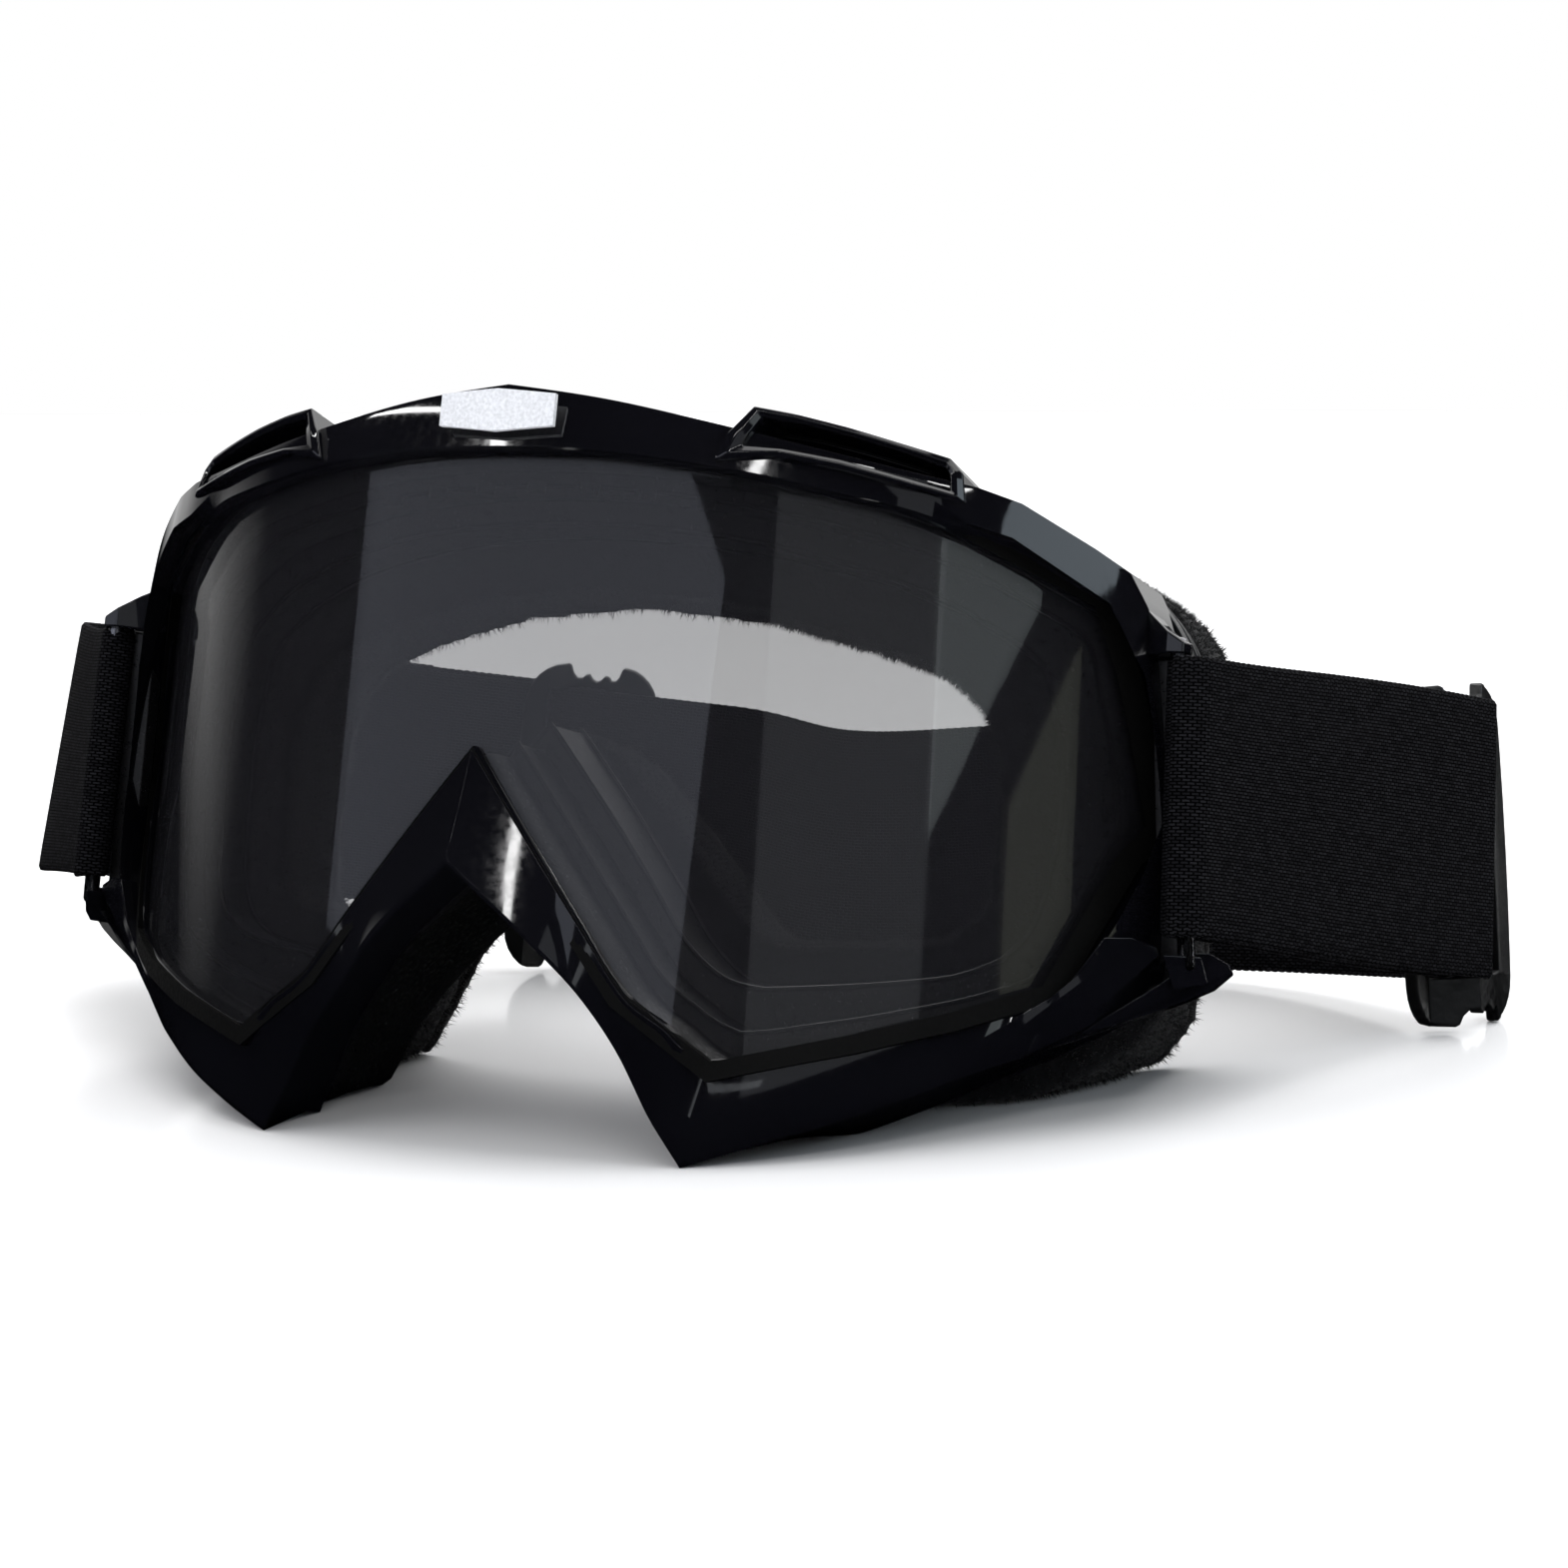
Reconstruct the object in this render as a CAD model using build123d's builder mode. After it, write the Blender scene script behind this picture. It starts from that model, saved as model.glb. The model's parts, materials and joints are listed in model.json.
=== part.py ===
"""Motorcycle goggles: gloss front frame, matte inner frame, tinted cylindrical lens,
face foam, and an elastic strap with two sliding adjusters.

The goggles stand on a table, leaning back on the cheek tips, the rear edge of the foam
and the strap adjusters.  X is the wearer's left, -Y the way the wearer looks, +Z up.  The
origin is the point of the table midway between the two cheek tips.  The frame pieces are
drawn upright in the goggles' own frame (x, y, h) and leaned back by LEAN at the end.
"""
import os
from math import cos, pi, radians, sin, sqrt

from build123d import *

os.makedirs("parts", exist_ok=True)

# ---------------------------------------------------------------- driving dimensions (mm)
LEAN = 16.3  # the standing goggles lean back by this many degrees

LENS_R = 90.0  # outer radius of the cylindrical lens
LENS_FRONT = -7.96  # y of the lens on the centre line
AXIS_Y = LENS_FRONT + LENS_R  # the upright axis that the lens is rolled about
LENS_T = 1.4
LENS_LAP = 2.6  # how far the lens runs under the frame's lip

FRONT_R = 93.8  # front face of the gloss frame
WALL = 2.2  # moulded wall of the gloss frame
SHELL_DEPTH = 24.0  # front face to rear rim of the gloss frame, on the centre line
SCOOP_DEPTH, SLOT_DEPTH = 14.0, 9.0  # brow air scoops, measured back from the front face
SHELL_R = 112.0  # curve of the gloss frame's rear rim
BACK_R = 116.0  # curve of the inner frame's rear face and the front of the foam
FACE_R = 112.0  # curve that the foam gives the wearer's face

INNER_REAR = 24.0  # y of the inner frame's rear face on the centre line
INNER_WALL = 1.6
FILTER_T = 6.0
FOAM_T = 15.0
LINING_T = 2.0
GAP = 0.3  # clearance between soft and hard pieces

BADGE_W, BADGE_H, BADGE_T = 17.0, 5.6, 0.8

WEB = 1.3  # strap webbing thickness
STRAP_W = 40.0
PIN_R = 1.25
PIN_FIT = 0.04
PIN_TOP = Vector(84.2, 29.3, 79.0)  # ends of the wearer's left strap pin, in (x, y, h)
PIN_FOOT = Vector(87.2, 35.2, 31.6)
LUG_H, LUG_T = 76.6, 2.1  # underside and thickness of the lug above the strap

ADJUSTER_L = Vector(109.5, 116.0, 28.3)  # running strap at the middle of each adjuster, standing
ADJUSTER_R = Vector(-36.0, 110.5, 27.6)
BEND_R = Vector(-104.0, 87.5, 36.8)  # end of the straight run beside the right adjuster
BEND_RADIUS = 8.0  # the strap's bend behind the left adjuster
BEND_TURN = 76.0
BEND_TILT = 0.1  # how far the strap's top edge leans in, round the bend beside the right pin
BACK_RUN = [(88, 134, 23.4), (62, 138.5, 21.4), (30, 131.5, 20.8), (-2, 121.5, 21.6)]  # along the table
FIXED_END = 28.0  # the right outer leg ends this far from the adjuster's middle
RETURN_R = 46.0  # length of the right leg that travels with its adjuster
STRAIGHT_R = 24.0  # the running strap stays straight this far beyond the right adjuster
SLIDER_W, SLIDER_H, SLIDER_T = 20.5, 53.0, 2.2
SLOT_H = STRAP_W + 3.8
DROP_L, DROP_R = 1.6, 1.1  # the adjusters hang this far below the middle of the strap
BAR_W = 2.6
LOOP_N = 2 * (WEB / 2 + 0.1 + PIN_R)  # the strap's outer leg stands this far outside its inner leg
RETURN_N = LOOP_N + WEB + GAP  # the leg that travels with an adjuster lies outside that
FIXED_N = RETURN_N + WEB + GAP  # the right outer leg passes outside the travelling one
BAR_N = 3.75  # the middle bar of an adjuster, outside the running strap
HEM = 22.0  # sewn hem behind the middle bar
STUD_R = 1.3
STUD_STEP = 8.0
VENT_R = 2.0

# ---------------------------------------------------------------- outlines, right half (x, h)
LENS_TOP = [(0, 92.7), (13.5, 92.5), (26.8, 91.5), (35.6, 90.5), (44.1, 89.3), (52.2, 88.2)]
LENS_SIDE = [(60.2, 85.5), (72.8, 79.9), (75.5, 71.2), (77.2, 63.2), (79.3, 51.7), (77, 47.4), (73.9, 38)]
LENS_LOW = [(70.6, 28.3), (61, 23.3), (50.5, 19.1), (35.4, 14.2), (24, 22.0), (0, 53.2)]
LENS_HALF = LENS_TOP + LENS_SIDE + LENS_LOW

BROW = [(0, 101.4), (14.2, 98.9), (30.3, 96.3), (59.0, 93.0), (65.4, 91.3), (73.6, 87.2), (77.8, 85.0)]
SIDE = [(81.0, 74), (83.6, 62.4), (84.6, 51.8), (83.8, 44), (82.6, 36.8), (81.3, 28.6)]
CHEEK = [(75.4, 23.7), (65.7, 17.6), (51.1, 8.5), (40.7, 4.0), (31.3, 0.0)]
NOSE = [(26.2, 8.0), (21.8, 15.8), (17.2, 21.4), (11.7, 27.0), (6.0, 31.8), (0, 36.7)]
FRAME_HALF = BROW + SIDE + CHEEK + NOSE

FLANGE_HALF = [(0, 84), (24, 82.6), (41, 79.6), (56, 75), (62.5, 70.5), (65.5, 64), (66, 51), (65, 40),
               (61, 31.5), (50, 28), (33, 25.8), (25, 28), (14, 42), (0, 60)]
SCOOP_HALF = [(30.2, 92.6), (31.7, 96.9), (33.9, 100.4), (45.2, 98.9), (56.9, 96.5), (58.5, 94.6),
              (59.4, 90.0)]
SLOT_HALF = [(33.6, 95.8), (34.6, 98.9), (45.0, 97.6), (56.8, 95.0), (57.4, 91.2), (46.5, 94.1)]

EYE_HALF = [(0, 80.0), (20, 78.6), (38, 74.9), (48, 72), (54, 67.5), (56.6, 60), (57, 46), (56, 38.5),
            (51.5, 34.4), (44, 33.2), (30, 32.0), (25, 35), (21, 40), (13, 49), (5, 57), (0, 59.5)]
FOAM_HALF = [(0, 97.0), (16, 95.8), (33, 93.6), (50, 91.6), (63, 90.2), (71, 88.2), (76.5, 85.2), (80.3, 79.4),
             (81.2, 70), (80.9, 58), (80.0, 46), (79.3, 34), (78.3, 27), (75.5, 22), (71.5, 18.5), (66.5, 15.3),
             (60, 12.6), (53, 10.8), (45, 9.6), (38, 9.2), (33.5, 11), (30, 15), (27, 20.5), (23, 28),
             (18.5, 34), (12, 38.5), (0, 42.5)]


# ---------------------------------------------------------------- shared shapes
def corner(before, at, after, grow):
    """One outline corner moved outwards so that both of its edges move by grow."""
    (ax, ay), (bx, by), (cx, cy) = before, at, after
    in_len = sqrt((bx - ax) ** 2 + (by - ay) ** 2)
    out_len = sqrt((cx - bx) ** 2 + (cy - by) ** 2)
    in_n = (-(by - ay) / in_len, (bx - ax) / in_len)
    out_n = (-(cy - by) / out_len, (cx - bx) / out_len)
    share = grow / (1 + in_n[0] * out_n[0] + in_n[1] * out_n[1])
    return bx + share * (in_n[0] + out_n[0]), by + share * (in_n[1] + out_n[1])


def grown(points, grow):
    """A clockwise closed outline with every edge moved outwards by grow."""
    count = len(points)
    return [corner(points[i - 1], points[i], points[(i + 1) % count], grow) for i in range(count)]


def whole(half):
    """A right half outline, from top centre to bottom centre, with its mirror image."""
    return half + [(-x, h) for x, h in reversed(half[1:-1])]


def prism(points, grow=0.0):
    """A closed outline as a solid that runs right through the goggles along y."""
    with BuildPart() as block:
        with BuildSketch(Plane.XZ.offset(60)):
            with BuildLine():
                Polyline(*grown(points, grow), close=True)
            make_face()
        extrude(amount=-220)
    return block.part


def behind(radius, front):
    """Everything behind an upright cylinder face whose foremost line is at y = front."""
    with BuildPart() as block:
        with BuildSketch(Plane.XY.offset(-40)):
            with Locations((0, front + radius)):
                Circle(radius)
            with Locations((0, front + radius + 100)):
                Rectangle(2 * radius, 200)
        extrude(amount=190)
    return block.part


def stand(part):
    """Lean a finished piece back into the standing pose."""
    return part.rotate(Axis.X, -LEAN)


def over_table(gap):
    """Everything higher than gap above the table, in the goggles' own frame."""
    return (Pos(0, 60, 150 + gap) * Box(400, 400, 300)).rotate(Axis.X, LEAN)


def save(part, name):
    part.label = name
    export_step(part, f"parts/{name}.step")


front_face = behind(FRONT_R, AXIS_Y - FRONT_R)
front_back = behind(FRONT_R - WALL, AXIS_Y - FRONT_R + WALL)
shell_rear = behind(SHELL_R, AXIS_Y - FRONT_R + SHELL_DEPTH)
lens_front = behind(LENS_R, LENS_FRONT)
lens_back = behind(LENS_R - LENS_T, LENS_FRONT + LENS_T)
inner_front = behind(LENS_R - LENS_T - 0.15, LENS_FRONT + LENS_T + 0.15)
inner_flange = behind(BACK_R, INNER_REAR - INNER_WALL)
inner_rear = behind(BACK_R, INNER_REAR)
foam_front = behind(BACK_R, INNER_REAR + GAP)
foam_rear = behind(FACE_R, INNER_REAR + GAP + FOAM_T)
lining_front = behind(FACE_R, INNER_REAR + 2 * GAP + FOAM_T)
lining_rear = behind(FACE_R, INNER_REAR + 2 * GAP + FOAM_T + LINING_T)

frame_block = prism(whole(FRAME_HALF)) & over_table(0)
frame_inside = prism(whole(FRAME_HALF), -WALL) & over_table(WALL)
lens_hole = prism(whole(LENS_HALF))

# ---------------------------------------------------------------- gloss front frame
scoop_block = prism(SCOOP_HALF)
scoop_slot = prism(SLOT_HALF)
scoop_face = behind(FRONT_R + 3.4, AXIS_Y - FRONT_R - 3.4)
scoop_back = behind(FRONT_R, AXIS_Y - FRONT_R + SCOOP_DEPTH)
slot_back = behind(FRONT_R, AXIS_Y - FRONT_R + SLOT_DEPTH)
with BuildPart() as front_frame:
    add((frame_block & front_face) - shell_rear)
    add((frame_inside & front_back), mode=Mode.SUBTRACT)
    scoop = (scoop_block & scoop_face) - scoop_back - frame_inside
    slot = scoop_slot - slot_back
    for flip in (False, True):
        add(scoop.mirror(Plane.YZ) if flip else scoop)
        add(slot.mirror(Plane.YZ) if flip else slot, mode=Mode.SUBTRACT)
    add(lens_hole, mode=Mode.SUBTRACT)
save(stand(front_frame.part), "front_frame")

# ---------------------------------------------------------------- lens and its seal
with BuildPart() as lens:
    add(prism(whole(LENS_HALF), LENS_LAP) & lens_front)
    add(lens_back, mode=Mode.SUBTRACT)
save(stand(lens.part), "lens")

with BuildPart() as lens_seal:
    add(prism(whole(LENS_HALF), LENS_LAP) & front_back)
    add(prism(whole(LENS_HALF), 0.2), mode=Mode.SUBTRACT)
    add(behind(LENS_R + 0.05, LENS_FRONT - 0.05), mode=Mode.SUBTRACT)
save(stand(lens_seal.part), "lens_seal")

# ---------------------------------------------------------------- matte inner frame
RIM = -(WALL + 0.15)
CHANNEL = RIM - INNER_WALL
rim_block = prism(whole(FRAME_HALF), RIM) & over_table(-RIM)
channel_block = prism(whole(FRAME_HALF), CHANNEL) & over_table(-CHANNEL)
channel = channel_block - prism(whole(LENS_HALF), INNER_WALL - 1.0)
with BuildPart() as inner_frame:
    add((rim_block & inner_front) - inner_rear)
    add(channel - inner_flange, mode=Mode.SUBTRACT)
    add(prism(whole(LENS_HALF), -1.0) - inner_flange, mode=Mode.SUBTRACT)
    add(prism(whole(FLANGE_HALF)), mode=Mode.SUBTRACT)
    with Locations(*[(x, 11, 90) for x in range(-36, 37, 12)]):
        Cylinder(VENT_R, 16, mode=Mode.SUBTRACT)
    for h in range(36, 75, 9):
        with Locations((0, 52, h)):
            Cylinder(VENT_R, 172, rotation=(0, 90, 0), mode=Mode.SUBTRACT)
save(stand(inner_frame.part), "inner_frame")

# heat-staked studs that hold the inner frame in the gloss frame, seen through the lens
with BuildPart() as frame_studs:
    studs = [STUD_STEP * i for i in range(-3, 4)]
    with Locations(*[(x, 1.5 + 0.006 * x ** 2, 91.2 - 0.0023 * x ** 2) for x in studs]):
        Cylinder(STUD_R, 1.6, align=(Align.CENTER, Align.CENTER, Align.MAX))
save(stand(frame_studs.part), "frame_studs")

# ---------------------------------------------------------------- filter foam in the vent channel
filter_block = prism(whole(FRAME_HALF), CHANNEL - GAP) & over_table(GAP - CHANNEL)
filter_ring = filter_block - prism(whole(LENS_HALF), INNER_WALL - 1.0 + GAP)
filter_ring = (filter_ring & behind(BACK_R, INNER_REAR - INNER_WALL - FILTER_T)) - behind(
    BACK_R, INNER_REAR - INNER_WALL - GAP)
FILTER_ZONES = {
    "vent_filter_top": (Box(64, 120, 24), (0, 20, 100)),
    "vent_filter_cheek_left": (Box(28, 80, 30), (50, 40, 14)),
    "vent_filter_cheek_right": (Box(28, 80, 30), (-50, 40, 14)),
}
for name, (zone, middle) in FILTER_ZONES.items():
    with BuildPart() as vent_filter:
        add(filter_ring & Pos(*middle) * zone)
    save(stand(vent_filter.part), name)

# ---------------------------------------------------------------- face foam and its lining
foam_block = prism(whole(FOAM_HALF)) & over_table(0.1)
with BuildPart() as face_foam:
    add((foam_block & foam_front) - foam_rear)
    add(prism(whole(EYE_HALF)), mode=Mode.SUBTRACT)
save(stand(face_foam.part), "face_foam")

with BuildPart() as foam_lining:
    add((foam_block & lining_front) - lining_rear)
    add(prism(whole(EYE_HALF)), mode=Mode.SUBTRACT)
save(stand(foam_lining.part), "foam_lining")

# ---------------------------------------------------------------- blank badge on the brow
BADGE = [(-BADGE_W / 2, BADGE_H * 0.42), (0, BADGE_H / 2 + 0.2), (BADGE_W / 2, BADGE_H * 0.42),
         (BADGE_W / 2, -BADGE_H * 0.36), (0, -BADGE_H / 2), (-BADGE_W / 2, -BADGE_H * 0.36)]
with BuildPart() as brow_badge:
    add(prism([(x, 97.9 + h) for x, h in BADGE]) & behind(FRONT_R + BADGE_T, AXIS_Y - FRONT_R - BADGE_T))
    add(behind(FRONT_R + 0.02, AXIS_Y - FRONT_R - 0.02), mode=Mode.SUBTRACT)
save(stand(brow_badge.part), "brow_badge")

# ---------------------------------------------------------------- strap brackets and pins
TAIL = [(71.5, 25.0), (77, 30.5), (84, 32.4), (90.0, 34.4), (91.5, 33.2), (90.6, 31.0), (88.5, 28.2),
        (85.6, 26.2),
        (81.3, 27.0), (75.4, 23.2)]
TAIL_PLAN = [(70, 51.5), (84, 51.5), (91.5, 47), (92, 40), (90.5, 34.5), (86.5, 31.0), (80, 26.3), (70, 19.0)]
LUG_PLAN = [(74, 46), (80.6, 46), (82.4, 37), (84.8, 32.2), (86.5, 30.6), (86.6, 28.6), (84.6, 27.2),
            (82.0, 27.4), (78, 30), (74, 30)]


def plan_block(points, low, high):
    """An outline seen from above, as a solid between two heights."""
    with BuildPart() as block:
        with BuildSketch(Plane.XY.offset(low)):
            with BuildLine():
                Polyline(*points, close=True)
            make_face()
        extrude(amount=high - low)
    return block.part


frame_solid = prism(whole(FRAME_HALF), 0.02) & behind(FRONT_R + 0.02, AXIS_Y - FRONT_R - 0.02)
with BuildPart() as tail:
    add(plan_block(TAIL_PLAN, 20, 40) & prism(TAIL))
    add(frame_solid, mode=Mode.SUBTRACT)
with BuildPart() as lug:
    add(plan_block(LUG_PLAN, LUG_H, LUG_H + LUG_T))
    add(frame_solid, mode=Mode.SUBTRACT)

# ---------------------------------------------------------------- strap frames, standing
def standing(point):
    """A point of the goggles' own frame, in the standing pose."""
    lean = radians(LEAN)
    back = point.Y * cos(lean) + point.Z * sin(lean)
    return Vector(point.X, back, point.Z * cos(lean) - point.Y * sin(lean))


def crossing(along, up):
    """The upright direction, squared to the strap's own direction."""
    return (up - along * up.dot(along)).normalized()


def mirrored(point):
    return Vector(-point.X, point.Y, point.Z)


pin_mid = standing((PIN_TOP + PIN_FOOT) * 0.5)
# wearer's left: the strap runs straight from the pin to its adjuster
left_dir = (ADJUSTER_L - pin_mid).normalized()
left_up = crossing(left_dir, standing(PIN_TOP) - standing(PIN_FOOT))
left_out = left_dir.cross(left_up)
left_foot = pin_mid - left_out * LOOP_N / 2
left_run = (ADJUSTER_L - left_foot).dot(left_dir)
left_at = left_foot + left_dir * left_run
# wearer's right: straight beside the adjuster, then round a bend to the pin
right_dir = (ADJUSTER_R - BEND_R).normalized()
right_up = crossing(right_dir, Vector(0, 0, 1))
right_out = right_up.cross(right_dir)
pin_up = mirrored(left_up)
pin_dir = crossing(pin_up, Vector(0.62, -0.78, 0))
pin_out = pin_dir.cross(pin_up)


def ribbon(stations, span=4):
    """Strap webbing through (point, up) stations, with its width along up, lofted span by span."""
    last = len(stations) - 1
    ends = []
    for i, (point, up) in enumerate(stations):
        along = (stations[min(i + 1, last)][0] - stations[max(i - 1, 0)][0]).normalized()
        ends.append(Plane(origin=point, x_dir=crossing(along, up), z_dir=along))
    with BuildPart() as web:
        for first in range(0, last, span):
            for end in ends[first:first + span + 1]:
                with BuildSketch(end):
                    Rectangle(STRAP_W, WEB)
            loft(ruled=True)
    return web.part


def pin_turn(foot, along, out, up):
    """Stations round the front of a strap pin, from the outer leg to the inner one."""
    centre = foot + out * LOOP_N / 2
    angles = [radians(90 + 22.5 * i) for i in range(9)]
    return [(centre + (along * cos(a) + out * sin(a)) * LOOP_N / 2, up) for a in angles]


def mixed(a, b, share):
    return a + (b - a) * share


# the left loop, its straight run and the bend behind the adjuster
stations = [(left_foot + left_dir * 18 + left_out * LOOP_N, left_up)]
stations += pin_turn(left_foot, left_dir, left_out, left_up)
bend_at = left_foot + left_dir * left_run
bend_centre = bend_at - left_out * BEND_RADIUS
for i in range(7):
    turn = radians(BEND_TURN * i / 6)
    stations.append((bend_centre + (left_out * cos(turn) + left_dir * sin(turn)) * BEND_RADIUS, left_up))
# the back run, lying on the table
turn = radians(BEND_TURN)
after_bend = left_dir * cos(turn) - left_out * sin(turn)
run_end = ADJUSTER_R + right_dir * STRAIGHT_R
back_path = Spline(stations[-1][0], *BACK_RUN, run_end, tangents=[after_bend, -right_dir])
for i in range(1, 17):
    share = i / 16
    stations.append((back_path @ share, mixed(left_up, right_up, share)))
# the right straight run, the bend and the pin
right_foot = mirrored(pin_mid) - pin_out * LOOP_N / 2
bend_path = Spline(BEND_R, right_foot, tangents=[-right_dir, pin_dir])
inner = [(BEND_R, right_up, right_out)]
for i in range(1, 13):
    share = i / 12
    up = (mixed(right_up, pin_up, share) + Vector(BEND_TILT, 0, 0) * sin(pi * share)).normalized()
    along = (bend_path % share).normalized()
    inner.append((bend_path @ share, up, along.cross(up)))
stations += [(point, up) for point, up, out in inner]
stations += [(p, up) for p, up in reversed(pin_turn(right_foot, pin_dir * -1, pin_out, pin_up)[:-1])]
for i, (point, up, out) in enumerate(reversed(inner)):
    if i:
        stations.append((point + out * (LOOP_N + (FIXED_N - LOOP_N) * i / 12), up))
stations.append((ADJUSTER_R - right_dir * FIXED_END + right_out * FIXED_N, right_up))
strap_webbing = ribbon(stations)
save(strap_webbing, "strap_webbing")
print("webbing length", sum((b[0] - a[0]).length for a, b in zip(stations, stations[1:])))

# ---------------------------------------------------------------- adjusters and the legs sewn to them
# drawn at the adjuster's middle: x along the strap away from the pin, y outwards, z across the strap
left_place = Plane(origin=left_at, x_dir=left_dir, z_dir=-left_up)
right_place = Plane(origin=ADJUSTER_R, x_dir=right_dir, z_dir=right_up)
WRAP_N = (RETURN_N - BAR_N)  # radius of the webbing round the middle bar


def return_leg(length):
    """The leg that lies outside, goes round the middle bar and is sewn back onto itself."""
    hem_n = RETURN_N - WEB - 0.02
    with BuildPart() as leg:
        with BuildSketch(Plane.XY.offset(-STRAP_W / 2)):
            with BuildLine() as path:
                outer = Line((-length, RETURN_N), (1.0, RETURN_N))
                wrap = CenterArc((1.0, BAR_N), WRAP_N, 90, -180)
                back = Line(wrap @ 1, (-1.5, BAR_N - WRAP_N))
                rise = Spline(back @ 1, (-9, hem_n), tangents=[(-1, 0), (-1, 0)])
                Line(rise @ 1, (-HEM, hem_n))
            trace(line_width=WEB)
        extrude(amount=STRAP_W)
    return leg.part


def wave(grow):
    """Outline of the moulded adjuster seen from its edge, as points along its upper face."""
    return [(-12, -2.0 + grow), (-7.1, -2.0 + grow), (-2.2, BAR_N + grow), (2.2, BAR_N + grow),
            (7.1, 2.0 + grow), (12, 2.0 + grow)]


HORN_H, SHOULDER_H = SLIDER_H / 2, STRAP_W / 2 + 0.6
with BuildPart() as slider:
    with BuildSketch(Plane.XY.offset(-SLIDER_H)):
        with BuildLine():
            Polyline(*wave(SLIDER_T / 2), *reversed(wave(-SLIDER_T / 2)), close=True)
        make_face()
    extrude(amount=2 * SLIDER_H)
    with BuildSketch(Plane.XZ.offset(20)) as outline:
        for up in (1, -1):
            with BuildLine():
                side = Line((-SLIDER_W / 2, 0), (-SLIDER_W / 2, up * SHOULDER_H))
                corner_arc = RadiusArc(side @ 1, (-5.3, up * HORN_H), up * 9.0)
                Polyline(corner_arc @ 1, (-4.4, up * (HORN_H - 0.6)), (-3.5, up * (HORN_H - 2.6)),
                         (-2.4, up * (HORN_H - 3.0)), (-1.3, up * (HORN_H - 2.1)), (0, up * (HORN_H - 3.2)),
                         (1.3, up * (HORN_H - 2.1)), (2.4, up * (HORN_H - 3.0)), (3.5, up * (HORN_H - 2.6)),
                         (4.4, up * (HORN_H - 0.6)), (5.3, up * HORN_H))
                RadiusArc((5.3, up * HORN_H), (SLIDER_W / 2, up * SHOULDER_H), up * 9.0)
                Polyline((SLIDER_W / 2, up * SHOULDER_H), (SLIDER_W / 2, 0), (-SLIDER_W / 2, 0))
            make_face()
    extrude(amount=-40, mode=Mode.INTERSECT)
    slot_w = (SLIDER_W - 3 * BAR_W) / 2
    with BuildSketch(Plane.XZ.offset(20)):
        with Locations((-(BAR_W + slot_w) / 2, 0), ((BAR_W + slot_w) / 2, 0)):
            Rectangle(slot_w, SLOT_H)
    extrude(amount=-40, mode=Mode.SUBTRACT)

# pins, and brackets with their holes along the same axis
pin_length = (PIN_TOP - PIN_FOOT).length
pin_plane = Plane(origin=pin_mid - left_up * pin_length / 2, z_dir=left_up)
with BuildPart() as pin:
    with BuildSketch(pin_plane):
        Circle(PIN_R)
    extrude(amount=pin_length)
    chamfer(pin.edges().filter_by(GeomType.CIRCLE), 0.3)
with BuildPart() as pin_hole:
    with BuildSketch(pin_plane):
        Circle(PIN_R + PIN_FIT)
    extrude(amount=pin_length)
side_pieces = {
    "strap_bracket": stand(tail.part) - pin_hole.part,
    "strap_lug": stand(lug.part) - pin_hole.part,
    "strap_pin": pin.part,
}
for name, piece in side_pieces.items():
    mirror_piece = piece.mirror(Plane.YZ)
    save(piece, f"{name}_left")
    save(mirror_piece, f"{name}_right")

LEGS = {"left": (left_place, left_run - 1.0, DROP_L), "right": (right_place, RETURN_R, -DROP_R)}
for side, (place, length, drop) in LEGS.items():
    save(place.location * Pos(0, 0, drop) * slider.part, f"strap_adjuster_{side}")
    save(place.location * return_leg(length), f"strap_return_{side}")
for side, (place, length, drop) in LEGS.items():
    print(side, "adjuster at", place.origin, "slides along", place.x_dir)
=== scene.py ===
"""Looks for the motorcycle goggles: gloss front frame, smoke lens, flocked foam and elastic strap.

Frame pieces are drawn in the goggles' own frame (x, y, h) in millimetres, upright, with the lens
rolled about an upright axis, and leaned back into the standing pose by own().
"""
import json
import math
import random

import bmesh
import bpy
import numpy as np
from mathutils import Matrix, Vector, noise


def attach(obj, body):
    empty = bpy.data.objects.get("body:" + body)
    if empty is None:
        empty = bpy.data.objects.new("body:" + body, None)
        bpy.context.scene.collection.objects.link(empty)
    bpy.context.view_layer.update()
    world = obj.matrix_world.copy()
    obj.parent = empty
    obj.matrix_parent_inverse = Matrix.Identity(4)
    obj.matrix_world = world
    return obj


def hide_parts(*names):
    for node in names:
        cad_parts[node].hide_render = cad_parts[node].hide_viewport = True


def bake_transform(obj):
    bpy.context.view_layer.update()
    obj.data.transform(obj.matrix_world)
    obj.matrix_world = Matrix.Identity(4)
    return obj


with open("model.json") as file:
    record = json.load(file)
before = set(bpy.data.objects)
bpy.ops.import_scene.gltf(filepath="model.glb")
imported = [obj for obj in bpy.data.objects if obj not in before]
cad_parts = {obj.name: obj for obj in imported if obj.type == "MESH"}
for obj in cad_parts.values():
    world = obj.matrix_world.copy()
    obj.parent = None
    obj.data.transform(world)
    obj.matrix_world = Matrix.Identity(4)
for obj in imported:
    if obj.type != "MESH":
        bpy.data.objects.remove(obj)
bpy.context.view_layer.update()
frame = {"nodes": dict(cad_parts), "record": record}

MM = 0.001
LEAN = math.radians(16.3)
LENS_R, AXIS_Y = 90.0, 82.04
SHELL_REAR, SHELL_R = 12.24, 112.0
BACK_R, INNER_REAR = 116.0, 24.0


# ------------------------------------------------------------------ places
def own(x, y, h):
    """A point of the goggles' own frame, standing, in metres, and never below the table."""
    up = h * math.cos(LEAN) - y * math.sin(LEAN)
    return Vector((x, y * math.cos(LEAN) + h * math.sin(LEAN), max(up, 0.0))) * MM


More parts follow.
